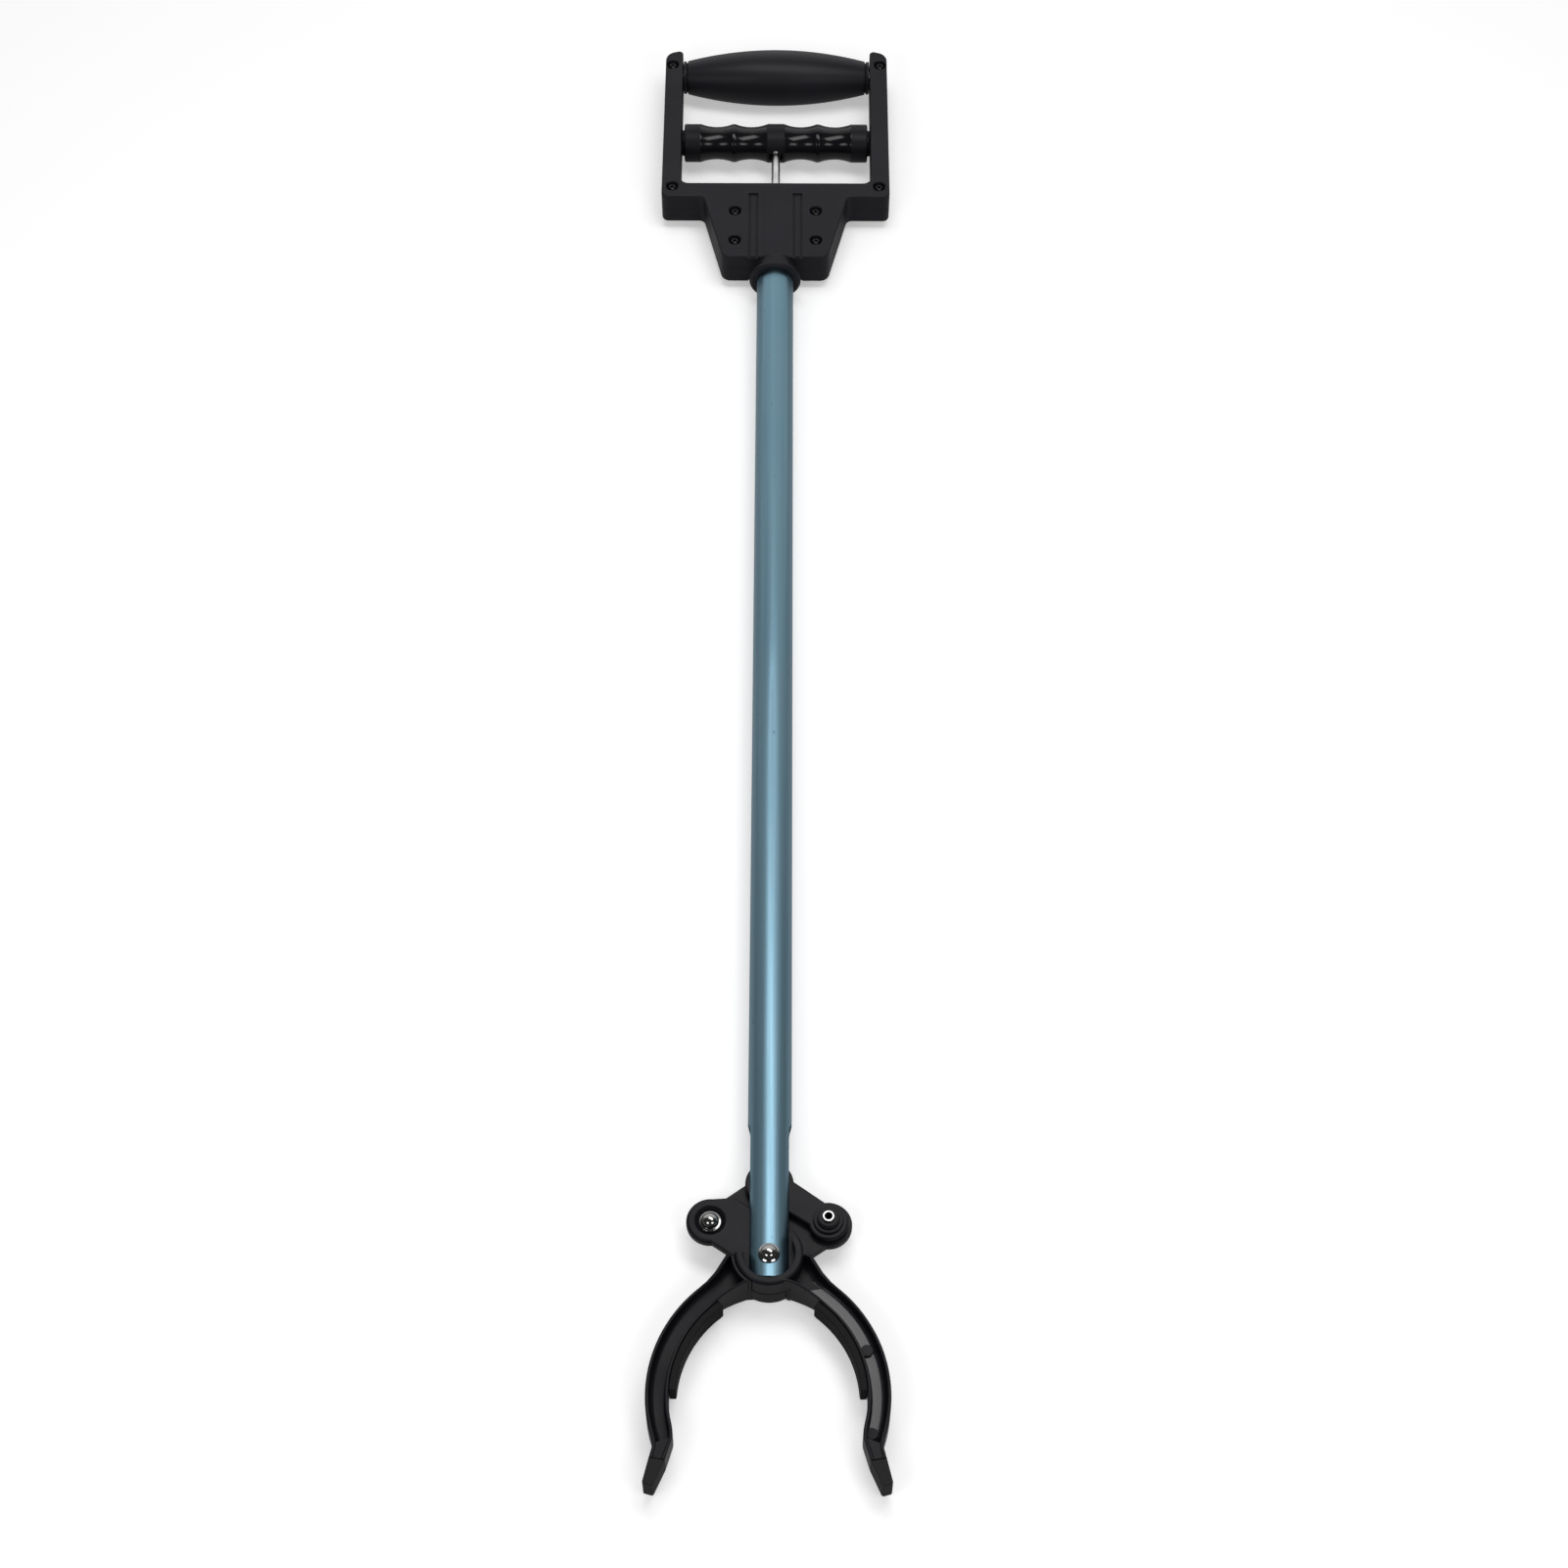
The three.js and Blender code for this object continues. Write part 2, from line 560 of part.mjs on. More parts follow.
// Collar where the tube enters the handle.
const COLLAR_R = 15.6;
const collarTop = HANDLE_Y - NECK_LONG - 0.2;
const COLLAR_LONG = 2.8;
const collar = alongY(turned([
  [TUBE_R + 0.15, collarTop - COLLAR_LONG],
  [COLLAR_R - 2, collarTop - COLLAR_LONG],
  [COLLAR_R, collarTop - COLLAR_LONG + 1.2],
  [COLLAR_R, collarTop],
  [TUBE_R + 0.15, collarTop],
  [TUBE_R + 0.15, collarTop - COLLAR_LONG],
], 36));
place('tube_collar', collar, 0x19191b, 0.45, 0);

// ---- fixed grip and squeeze bar ----
const GRIP_HALF = POST_IN - GAP;
const GRIP_MID_R = 17.5;
const GRIP_NECK_R = 10.4;
const GRIP_BORE_R = 4.6;
const GRIP_RING_R = 10; // bead at either end, with a shallow groove behind it
const GRIP_GROOVE_R = 9;
const gripProfile = [
  [GRIP_BORE_R, -GRIP_HALF],
  [GRIP_RING_R, -GRIP_HALF],
  [GRIP_RING_R, -GRIP_HALF + 1.6],
  [GRIP_GROOVE_R, -GRIP_HALF + 2],
];
const BARREL_HALF = GRIP_HALF - 2.8;
const BARREL_STEPS = 10;
for (let step = 0; step <= BARREL_STEPS; step += 1) {
  const along = -1 + (2 * step) / BARREL_STEPS;
  gripProfile.push([GRIP_MID_R - (GRIP_MID_R - GRIP_NECK_R) * along * along, BARREL_HALF * along]);
}
gripProfile.push(
  [GRIP_GROOVE_R, GRIP_HALF - 2],
  [GRIP_RING_R, GRIP_HALF - 1.6],
  [GRIP_RING_R, GRIP_HALF],
  [GRIP_BORE_R, GRIP_HALF],
  [GRIP_BORE_R, -GRIP_HALF],
);
place('top_grip', alongX(turned(gripProfile, 30)).translate([0, GRIP_Y, 0]), 0x202022, 0.45, 0);
const spindle = alongX(cylinder(4.2, -63.4, 63.4, 20)).translate([0, GRIP_Y, 0]);
place('grip_spindle', spindle, 0x8f9194, 0.4, 1);

// Squeeze bar: four finger hollows, a plain middle boss and plain ends.
const CREST_R = 11.7;
const TROUGH_R = 9.9;
const FINGER_PITCH = 21.6;
const FIRST_HOLLOW = 15.5;
const BAR_HALF = 57.4;
const BOSS_HALF = 7;
const TONGUE_END = GROOVE_IN - 0.5; // flat blade at the bar's ends that runs in the posts' grooves
const NUT_POCKET_R = 4.4;
const NUT_TOP = -5.2; // the nut's pocket and the rod's hole, measured from the bar's axis
const ROD_HOLE_TOP = 5.4;

function barRadius(x) {
  const away = Math.abs(x);
  const firstCrest = FIRST_HOLLOW - FINGER_PITCH / 2;
  const lastCrest = FIRST_HOLLOW + 1.5 * FINGER_PITCH;
  if (away < Math.max(firstCrest, BOSS_HALF - 2) || away > lastCrest) return CREST_R;
  const wave = Math.cos((2 * Math.PI * (away - FIRST_HOLLOW)) / FINGER_PITCH);
  return CREST_R - ((CREST_R - TROUGH_R) * (1 + wave)) / 2;
}

const barProfile = [[0, -BAR_HALF]];
const BAR_STEPS = 40;
for (let step = 0; step <= BAR_STEPS; step += 1) {
  const x = BAR_HALF * (-1 + (2 * step) / BAR_STEPS);
  barProfile.push([barRadius(x), x]);
}
barProfile.push([0, BAR_HALF]);
const barCore = unite([
  turned(barProfile, 26),
  cylinder(8, -POST_IN + 0.4, POST_IN - 0.4, 24),
]);
const blade = block(-TONGUE_END, TONGUE_END, -7.4, 7.4, -GROOVE_HALF + 0.4, GROOVE_HALF - 0.4);
const bar = cut(alongX(barCore).add(blade), [
  alongY(cylinder(ROD_R + 0.3, -15, ROD_HOLE_TOP, 20)),
  alongY(cylinder(NUT_POCKET_R, -15, NUT_TOP, 20)),
]);
place('squeeze_bar', bar.translate([0, BAR_Y, 0]), 0x171719, 0.25, 0);
const nut = alongY(turned([[0, -9.6], [3.4, -9.6], [3.9, -8.8], [3.9, -5.4], [0, -5.4]], 6)
  .subtract(cylinder(ROD_R + 0.15, -11, -4, 20)));
place('rod_nut', nut.translate([0, BAR_Y, 0]), 0xc4c6c9, 0.2, 1);

// ---- place the tool about the origin ----
const reacherGrabber = new THREE.Group();
reacherGrabber.name = 'reacher_grabber';
const centre = new THREE.Box3().setFromObject(tool, true).getCenter(new THREE.Vector3());
tool.position.y = -Math.round(centre.y * 100) / 100;
reacherGrabber.add(tool);

export default reacherGrabber;
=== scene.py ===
"""Looks of the reacher grabber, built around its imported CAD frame.

Shapes are drawn in millimetres with the jaws' pivot at the origin, +Y up the tube and +Z out of the front,
and finish_piece() moves each mesh into the row frame in metres.
"""
import json
import math

import bmesh
import bpy
from mathutils import Matrix, Vector


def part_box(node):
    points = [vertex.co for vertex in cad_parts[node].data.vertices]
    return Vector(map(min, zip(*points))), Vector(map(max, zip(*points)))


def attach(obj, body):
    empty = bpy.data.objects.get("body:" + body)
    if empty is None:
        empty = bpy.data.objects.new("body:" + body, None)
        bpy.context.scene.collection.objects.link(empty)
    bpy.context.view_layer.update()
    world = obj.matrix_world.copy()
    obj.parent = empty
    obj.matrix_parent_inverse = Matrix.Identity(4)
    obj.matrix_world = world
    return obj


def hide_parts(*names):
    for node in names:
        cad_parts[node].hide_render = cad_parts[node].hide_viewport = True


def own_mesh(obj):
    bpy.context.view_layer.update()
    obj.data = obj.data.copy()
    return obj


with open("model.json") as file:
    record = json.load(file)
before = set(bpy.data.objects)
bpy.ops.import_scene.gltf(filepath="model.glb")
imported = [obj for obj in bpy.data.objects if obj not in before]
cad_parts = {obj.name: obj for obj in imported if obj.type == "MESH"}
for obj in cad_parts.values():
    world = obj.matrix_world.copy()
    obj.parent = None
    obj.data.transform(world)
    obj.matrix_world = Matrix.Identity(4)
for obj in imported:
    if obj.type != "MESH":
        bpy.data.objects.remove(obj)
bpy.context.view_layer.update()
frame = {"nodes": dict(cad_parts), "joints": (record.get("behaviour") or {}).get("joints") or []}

# ---- sizes, from the frame ----
MM = 0.001
JOINTS = {joint["name"]: joint for joint in frame["joints"]}
PIVOT = Vector(JOINTS["right_jaw_pivot"]["pos_m"])
TO_ROW = Matrix.Translation(PIVOT) @ Matrix.Scale(MM, 4)


def node_box(node):
    """Lowest and highest corner of a CAD node in drawing millimetres."""
    low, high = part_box(node)
    return (low - PIVOT) / MM, (high - PIVOT) / MM


def screw_spot(number):
    """Where the axis of a handle screw meets the middle plane."""
    low, high = node_box(f"shell_screw_{number}")
    return (low + high).xy / 2


tube_low, tube_high = node_box("main_tube")
shell_high = node_box("front_handle_shell")[1]
grip_low, grip_high = node_box("top_grip")
bar_low, bar_high = node_box("squeeze_bar")
ear_low, ear_high = node_box("left_ear_rivet")
rod_low, rod_high = node_box("pull_rod")
collar_low, collar_high = node_box("tube_collar")
clevis_low, clevis_high = node_box("rod_end_clevis")
spring_low, spring_high = node_box("return_spring")
key_low, key_high = node_box("tube_key_pin_1")
pin_low, pin_high = node_box("main_pivot_pin")

SPLIT = 0.15  # each handle half and each jaw layer stops this far short of the middle plane
TUBE_R = tube_high.x
TUBE_END = tube_low.y  # open end, past the jaws' pivot
TUBE_TOP = tube_high.y  # upper end, inside the handle
TUBE_WALL = 1.2
LAYER = 4.85  # outer face of the two plate layers that cross in the tube's slot
SLOT_HALF = LAYER + 0.45
SLOT_TOP = 68.5  # centre of the slot's rounded end
PIN_R = 3.0
PIN_HOLE_R = PIN_R + 0.2
KEY_Y = (key_low.y + key_high.y) / 2  # side pins that lock the tube in the handle
KEY_HOLE_R = 2.2
EAR = Vector((-(ear_low.x + ear_high.x) / 2, (ear_low.y + ear_high.y) / 2))
LINK_TOP = (Vector(JOINTS["right_link_pivot"]["pos_m"]).y - PIVOT.y) / MM
GRIP_Y = (grip_low.y + grip_high.y) / 2
BAR_Y = (bar_low.y + bar_high.y) / 2
ROD_R = rod_high.x
COLLAR_LOW = collar_low.y
COLLAR_HIGH = collar_high.y
COLLAR_R = collar_high.x
HANDLE_Y = COLLAR_HIGH + 8.0  # lower end of the handle's body
SHELL_HALF = 11.0  # half the handle's thickness
POST_IN = 59.0  # the posts' inner and outer sides
POST_OUT = shell_high.x
SHOULDER_Y = HANDLE_Y + 50
WINDOW_Y = HANDLE_Y + 62
POST_TOP = HANDLE_Y + 177.6
SCREW_COUNT = 8
SCREW_SEAT = 8.2  # depth of the screw heads' seats


# ---- outlines and meshes ----
def polar(radius, degrees, centre=(0, 0)):
    """Point at a radius and an angle about a centre."""
    turn = math.radians(degrees)
    return Vector((centre[0] + radius * math.cos(turn), centre[1] + radius * math.sin(turn)))


def arc(radius, start, end, centre=(0, 0), steps=24):
    """Points along an arc, both ends included."""
    return [polar(radius, start + (end - start) * i / steps, centre) for i in range(steps + 1)]


def quarter(steps):
    """(1 - cos, 1 - sin) at even steps through a right angle, for rounding an edge."""
    turns = [math.pi / 2 * step / steps for step in range(steps + 1)]
    return [(1 - math.cos(turn), 1 - math.sin(turn)) for turn in turns]


def fillet(corners, closed=True, step_degrees=9):
    """Outline through corners (x, y, radius), with a true arc at each corner that has a radius."""
    points = []
    count = len(corners)
    for index, corner in enumerate(corners):
        here = Vector(corner[:2])
        radius = corner[2] if len(corner) > 2 else 0
        ends = not closed and index in (0, count - 1)
        if radius <= 0 or ends:
            points.append(here)
            continue
        back = (Vector(corners[index - 1][:2]) - here).normalized()
        ahead = (Vector(corners[(index + 1) % count][:2]) - here).normalized()
        half = math.acos(max(-1.0, min(1.0, back.dot(ahead)))) / 2
        reach = radius / math.tan(half)
        centre = here + (back + ahead).normalized() * (radius / math.sin(half))
        first = here + back * reach - centre
        last = here + ahead * reach - centre
        sweep = math.pi - 2 * half
        side = 1 if first.x * last.y - first.y * last.x > 0 else -1
        steps = max(2, math.ceil(math.degrees(sweep) / step_degrees))
        for step in range(steps + 1):
            turn = side * sweep * step / steps
            spoke = Matrix.Rotation(turn, 2) @ first
            points.append(centre + spoke)
    return points


def signed_area(points):
    """Area of an outline, positive when it runs counter-clockwise."""
    return sum(a.x * b.y - b.x * a.y for a, b in zip(points, points[1:] + points[:1])) / 2


def inset(points, distance):
    """Moves a counter-clockwise outline inwards by a small distance."""
    smaller = []
    count = len(points)
    for index, here in enumerate(points):
        before = (here - points[index - 1]).normalized()
        after = (points[(index + 1) % count] - here).normalized()
        normal_a = Vector((-before.y, before.x))
        normal_b = Vector((-after.y, after.x))
        middle = normal_a + normal_b
        smaller.append(here + middle * (distance / max(0.3, 1 + normal_a.dot(normal_b))))
    return smaller


def build(verts, faces):
    """Mesh with doubled points merged and its faces pointing out."""
    mesh = bpy.data.meshes.new("draft")
    mesh.from_pydata([tuple(v) for v in verts], [], faces)
    work = bmesh.new()
    work.from_mesh(mesh)
    bmesh.ops.remove_doubles(work, verts=work.verts, dist=1e-5)
    bmesh.ops.recalc_face_normals(work, faces=work.faces)
    work.to_mesh(mesh)
    work.free()
    return mesh


def loft(loops, closed_path=False):
    """Skin over loops that all have the same number of points, with flat ends unless the path closes."""
    count = len(loops[0])
    verts = [point for loop in loops for point in loop]
    faces = []
    spans = len(loops) if closed_path else len(loops) - 1
    for level in range(spans):
        here = level * count
        above = (level + 1) % len(loops) * count
        for index in range(count):
            ahead = (index + 1) % count
            faces.append((here + index, here + ahead, above + ahead, above + index))
    if not closed_path:
        faces.append(tuple(range(count))[::-1])
        faces.append(tuple((len(loops) - 1) * count + i for i in range(count)))
    return build(verts, faces)


def slab(points, low, high, round_low=0.0, round_high=0.0, steps=4):
    """Plate between two heights, with its rims rounded."""
    points = [Vector(p) for p in points]
    if signed_area(points) < 0:
        points.reverse()
    levels = []
    if round_low > 0:
        levels += [(round_low * s, low + round_low * c) for c, s in quarter(steps)[:-1]]
    levels += [(0, low + round_low), (0, high - round_high)]
    if round_high > 0:
        levels += [(round_high * c, high - round_high * s) for c, s in quarter(steps)[1:]]
    loops = []
    for distance, height in levels:
        ring = inset(points, distance) if distance > 0 else points
        loops.append([(p.x, p.y, height) for p in ring])
    return loft(loops)


def lathe(profile, sides=96, shape=None):
    """Turned solid about Z, from (radius, z) points that start and end on the axis or close on themselves."""
    closed = (Vector(profile[0]) - Vector(profile[-1])).length < 1e-6
    rings = profile[:-1] if closed else profile
    verts = []
    starts = []
    for radius, height in rings:
        starts.append((len(verts), radius > 1e-6))
        if radius <= 1e-6:
            verts.append((0, 0, height))
            continue
        for side in range(sides):
            turn = 2 * math.pi * side / sides
            reach = radius + (shape(turn, height) if shape else 0)
            verts.append((reach * math.cos(turn), reach * math.sin(turn), height))
    faces = []
    pairs = list(zip(starts, starts[1:] + starts[:1])) if closed else list(zip(starts, starts[1:]))
    for (low, low_ring), (high, high_ring) in pairs:
        for side in range(sides):
            ahead = (side + 1) % sides
            if low_ring and high_ring:
                faces.append((low + side, low + ahead, high + ahead, high + side))
            elif low_ring:
                faces.append((low + side, low + ahead, high))
            elif high_ring:
                faces.append((low, high + ahead, high + side))
    if not closed:
        for start, is_ring in (starts[0], starts[-1]):
            if is_ring:
                faces.append(tuple(start + side for side in range(sides)))
    return build(verts, faces)


def turned(corners, sides=96, closed=False):
    """Lathe through (radius, z, fillet) corners."""
    profile = fillet(corners, closed, 15)
    if closed:
        profile.append(profile[0])
    return lathe(profile, sides)


def moved(mesh, x=0, y=0):
    """The same mesh, shifted."""
    mesh.transform(Matrix.Translation((x, y, 0)))
    return mesh


def spun(mesh, degrees, axis):
    """The same mesh, turned about an axis through the origin."""
    mesh.transform(Matrix.Rotation(math.radians(degrees), 4, axis))
    return mesh


def along_y(mesh):
    """Lays a mesh that was made about Z along the tube."""
    return spun(mesh, -90, "X")


def along_x(mesh):
    """Lays a mesh that was made about Z across the tube."""
    return spun(mesh, 90, "Y")


def half_turn(mesh):
    """The left-hand moving pieces are the right-hand ones turned half a turn about the tube."""
    copy = mesh.copy()
    return spun(copy, 180, "Y")


def block(x0, x1, y0, y1, z0, z1, corner=0.0, rim=0.0):
    """Rounded box: corner rounds its upright edges, rim its lower and upper ones."""
    corners = [(x0, y0, corner), (x1, y0, corner), (x1, y1, corner), (x0, y1, corner)]
    return slab(fillet(corners), z0, z1, rim, rim)


def rod(radius, low, high, sides=64):
    """Plain cylinder about Z."""
    return lathe([(0, low), (radius, low), (radius, high), (0, high)], sides)


def carve(base, operation, tools):
    """Boolean of a closed mesh with several others, applied one after another."""
    host = bpy.data.objects.new("host", base)
    bpy.context.scene.collection.objects.link(host)
    helpers = []
    for tool in tools:
        helper = bpy.data.objects.new("tool", tool)
        bpy.context.scene.collection.objects.link(helper)
        helpers.append(helper)
        step = host.modifiers.new("step", "BOOLEAN")
        step.solver = "MANIFOLD"
        step.operation = operation
        step.object = helper
    bpy.context.view_layer.update()
    graph = bpy.context.evaluated_depsgraph_get()
    result = bpy.data.meshes.new_from_object(host.evaluated_get(graph), depsgraph=graph)
    for helper in helpers + [host]:
        bpy.data.objects.remove(helper)
    return result


def unite(*parts):
    """All parts joined into one solid."""
    return carve(parts[0], "UNION", parts[1:])


def cut(base, *tools):
    """The base without the tools."""
    return carve(base, "DIFFERENCE", tools)


def finish_piece(mesh, name, body, nodes, material, extra=()):
    """Puts a finished mesh in the row frame as a named piece on its body.

    The extra materials are for faces that are marked later.
    """
    mesh.transform(TO_ROW)
    work = bmesh.new()
    work.from_mesh(mesh)
    bmesh.ops.remove_doubles(work, verts=work.verts, dist=2e-6)
    bmesh.ops.dissolve_degenerate(work, edges=work.edges, dist=1e-6)
    bmesh.ops.recalc_face_normals(work, faces=work.faces)
    work.to_mesh(mesh)
    work.free()
    mesh.name = name
    mesh.materials.clear()
    for item in (material, *extra):
        mesh.materials.append(item)
    for face in mesh.polygons:
        face.use_smooth = True
    mesh.set_sharp_from_angle(angle=math.radians(32))
    piece = bpy.data.objects.new(name, mesh)
    bpy.context.scene.collection.objects.link(piece)
    even = piece.modifiers.new("even_normals", "WEIGHTED_NORMAL")
    even.keep_sharp = True
    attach(piece, body)
    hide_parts(*nodes)
    return piece


def finish_pair(mesh, part, body, node, material):
    """A right-hand piece, and the same shape turned half a turn as the left-hand one."""
    for side, shape in (("right", mesh), ("left", half_turn(mesh))):
        finish_piece(shape, f"{side}_{part}", f"{side}_{body}_body", [f"{side}_{node}"], material)


# ---- materials ----
class Nodes:
    """Short way to add and join shader nodes."""

    def __init__(self, tree):
        self.tree = tree

    def add(self, kind, sockets=None, **settings):
        """New node; each socket takes a value or a join from another node's socket."""
        node = self.tree.nodes.new(kind)
        for key, value in settings.items():
            setattr(node, key, value)
        for key, value in (sockets or {}).items():
            self.put(node.inputs[key], value)
        return node

    def put(self, socket, value):
        """Joins a socket to another node's, or sets its value."""
        if isinstance(value, bpy.types.NodeSocket):
            self.tree.links.new(value, socket)
        else:
            socket.default_value = value

    def remap(self, value, low, high, out_low=0.0, out_high=1.0):
        """Value scaled from one range to another, and kept within it."""
        sockets = {"Value": value, "From Min": low, "From Max": high, "To Min": out_low, "To Max": out_high}
        return self.add("ShaderNodeMapRange", sockets).outputs["Result"]

    def math(self, operation, a, b):
        """Result of a Math node."""
        return self.add("ShaderNodeMath", {0: a, 1: b}, operation=operation).outputs[0]


class Look(Nodes):
    """Nodes of a material for the object."""

    def __init__(self, name):
        self.material = bpy.data.materials.new(name)
        self.material.use_nodes = True
        super().__init__(self.material.node_tree)
        self.place = self.add("ShaderNodeTexCoord").outputs["Object"]

    def stretch(self, x, y, z):
        """Object coordinates scaled along each axis."""
        return self.add("ShaderNodeMapping", {"Vector": self.place, "Scale": (x, y, z)}).outputs["Vector"]

    def noise(self, scale, detail=3.0, roughness=0.5, vector=None):
        """Noise in the piece's own space; the scale is in waves per metre."""
        sockets = {"Vector": vector or self.place, "Scale": scale, "Detail": detail, "Roughness": roughness}
        return self.add("ShaderNodeTexNoise", sockets).outputs["Fac"]

    def mix(self, share, a, b):
        """Colour between a and b."""
        node = self.add("ShaderNodeMix", {"Factor": share}, data_type="RGBA")
        colours = [s for s in node.inputs if s.type == "RGBA"]
        self.put(colours[0], a)
        self.put(colours[1], b)
        return [s for s in node.outputs if s.type == "RGBA"][0]

    def edge_normal(self, radius):
        """Normal softened within a radius in millimetres of every edge."""
        return self.add("ShaderNodeBevel", {"Radius": radius * MM}, samples=4).outputs["Normal"]

    def edge_mask(self, soft):
        """1 on edges and 0 on flats, from how far the softened normal leans."""
        true = self.add("ShaderNodeNewGeometry").outputs["Normal"]
        node = self.add("ShaderNodeVectorMath", {0: soft, 1: true}, operation="DOT_PRODUCT")
        return self.remap(node.outputs["Value"], 0.999, 0.93)

    def bump(self, height, strength, distance, normal):
        """Normal with relief; the distance is in millimetres."""
        sockets = {"Height": height, "Strength": strength, "Distance": distance * MM, "Normal": normal}
        return self.add("ShaderNodeBump", sockets).outputs["Normal"]

    def finish(self, color, roughness, metallic, normal, **extra):
        """Joins everything to the surface shader and gives the material."""
        sockets = {"Base Color": color, "Roughness": roughness, "Metallic": metallic, "Normal": normal}
        sockets.update({key.replace("_", " "): value for key, value in extra.items()})
        for key, value in sockets.items():
            self.put(self.tree.nodes["Principled BSDF"].inputs[key], value)
        return self.material


def grey(value, blue=1.0):
    """Grey whose blue part is scaled."""
    return (value, value, value * blue, 1.0)


def moulded(name, tone, roughness, grain=1.0, specular=0.35, edge_wear_and_highlight=2.2):
    """Moulded black plastic: spark-eroded grain, handled patches, and edges lightened partly as rubbed wear
    and partly as a painted highlight along the rims.
    """
    n = Look(name)
    normal = n.edge_normal(0.35)
    edges = n.edge_mask(normal)
    fine = n.noise(2600, 2.0)
    patch = n.noise(38, 4.0)
    smear = n.noise(9, 3.0, 0.6, n.stretch(1, 3.5, 1))
    scratch_lines = n.noise(900, 2.0, 0.5, n.stretch(1, 0.04, 1))
    scratches = n.math("MULTIPLY", n.remap(scratch_lines, 0.66, 0.72), n.remap(patch, 0.5, 0.62))
    # Edges are lightened here, partly as rubbed wear and partly as a painted highlight along the rims.
    rubbed_and_highlit = n.math("MULTIPLY", edges, n.remap(patch, 0.35, 0.65, 0.25, 1.0))
    base = n.mix(n.remap(patch, 0.3, 0.7), grey(tone * 0.88, 1.3), grey(tone * 1.12, 1.34))
    worn_and_highlit_base = n.mix(n.math("MULTIPLY", rubbed_and_highlit, 0.7), base, grey(tone * edge_wear_and_highlight, 1.05))
    color = n.mix(n.math("MULTIPLY", scratches, 0.25), worn_and_highlit_base, grey(tone * 2.2, 1.05))
    handled = n.remap(smear, 0.3, 0.7, roughness * 0.86, roughness * 1.14)
    rough = n.math("ADD", handled, n.math("MULTIPLY", edges, -0.05))
    rough = n.math("ADD", rough, n.remap(fine, 0.3, 0.7, -0.03, 0.03))
    height = n.math("SUBTRACT", fine, n.math("MULTIPLY", scratches, 0.3))
    normal = n.bump(height, 0.22 * grain, 0.06, normal)
    return n.finish(color, rough, 0.0, normal, Specular_IOR_Level=specular)


def rubber(name, tone, roughness):
    """Matte rubber with a dusty bloom and fine pits."""
    n = Look(name)
    normal = n.edge_normal(0.3)
    edges = n.edge_mask(normal)
    pits = n.noise(1500, 3.0, 0.6)
    dust = n.noise(60, 4.0, 0.6)
    base = n.mix(n.remap(dust, 0.35, 0.7), grey(tone * 0.85), grey(tone * 1.3, 0.98))
    color = n.mix(n.math("MULTIPLY", edges, 0.35), base, grey(tone * 1.9))
    rough = n.remap(dust, 0.3, 0.7, roughness - 0.06, roughness + 0.06)
    normal = n.bump(pits, 0.35, 0.12, normal)
    return n.finish(color, rough, 0.0, normal, Specular_IOR_Level=0.25)


def anodised():
    """Blue anodised aluminium tube with lengthwise drawing lines and a few handling marks."""
    n = Look("anodised_blue")
    lines = n.noise(1400, 3.0, 0.6, n.stretch(1, 0.006, 1))
    broad = n.noise(260, 2.0, 0.5, n.stretch(1, 0.02, 1))
    cloud = n.noise(14, 3.0)
    nick = n.noise(420, 1.0, 0.5, n.stretch(1, 0.5, 1))
    nicks = n.remap(nick, 0.76, 0.8)
    normal = n.edge_normal(0.25)
    edges = n.edge_mask(normal)
    body = n.mix(n.remap(broad, 0.3, 0.7), (0.155, 0.275, 0.35, 1), (0.19, 0.325, 0.405, 1))
    body = n.mix(n.remap(cloud, 0.35, 0.65, 0.0, 0.3), body, (0.205, 0.325, 0.39, 1))
    bright = n.mix(n.math("MULTIPLY", edges, 0.6), body, (0.55, 0.62, 0.66, 1))
    color = n.mix(n.math("MULTIPLY", nicks, 0.5), bright, (0.06, 0.09, 0.11, 1))
    rough = n.remap(lines, 0.3, 0.7, 0.33, 0.43)
    height = n.math("SUBTRACT", lines, n.math("MULTIPLY", nicks, 0.8))
    normal = n.bump(height, 0.16, 0.05, normal)
    return n.finish(color, rough, 1.0, normal, Anisotropic=0.35)


def metal(name, tone, roughness, lines=0.3, warm=1.0, stretch=(1, 1, 1)):
    """Plated metal: fine polishing lines, faint tarnish and bright edges."""
    n = Look(name)
    normal = n.edge_normal(0.2)
    fine = n.noise(1800, 3.0, 0.6, n.stretch(*stretch))
    stain = n.noise(160, 4.0, 0.6)
    low = (tone * 0.82, tone * 0.82, tone * 0.83, 1)
    high = (tone, tone * (2 + warm) / 3, tone * warm, 1)
    color = n.mix(n.remap(stain, 0.35, 0.6), low, high)
    tarnish = n.remap(stain, 0.3, 0.7, roughness * 1.25, roughness * 0.85)
    rough = n.math("ADD", tarnish, n.remap(fine, 0.3, 0.7, -0.02, 0.03))
    normal = n.bump(fine, lines, 0.02, normal)
    return n.finish(color, rough, 1.0, normal)


# The edge-lightening amounts below are part wear and part painted highlight along the rims, strongest on the
# shell.
SHELL_PLASTIC = moulded("shell_plastic", 0.0125, 0.5, specular=0.19, edge_wear_and_highlight=3.4)
GRIP_PLASTIC = moulded("grip_plastic", 0.0125, 0.42, grain=0.7, specular=0.2)
BAR_PLASTIC = moulded("bar_plastic", 0.0055, 0.16, grain=0.25, specular=0.28)
BAR_SATIN = moulded("bar_satin", 0.008, 0.45, grain=0.8, specular=0.16)
JAW_PLASTIC = moulded("jaw_plastic", 0.008, 0.40, grain=0.8, specular=0.14, edge_wear_and_highlight=3.0)
POLISHED_CORE = moulded("polished_core", 0.012, 0.25, grain=0.5, specular=0.42)
GUIDE_PLASTIC = moulded("guide_plastic", 0.03, 0.5)
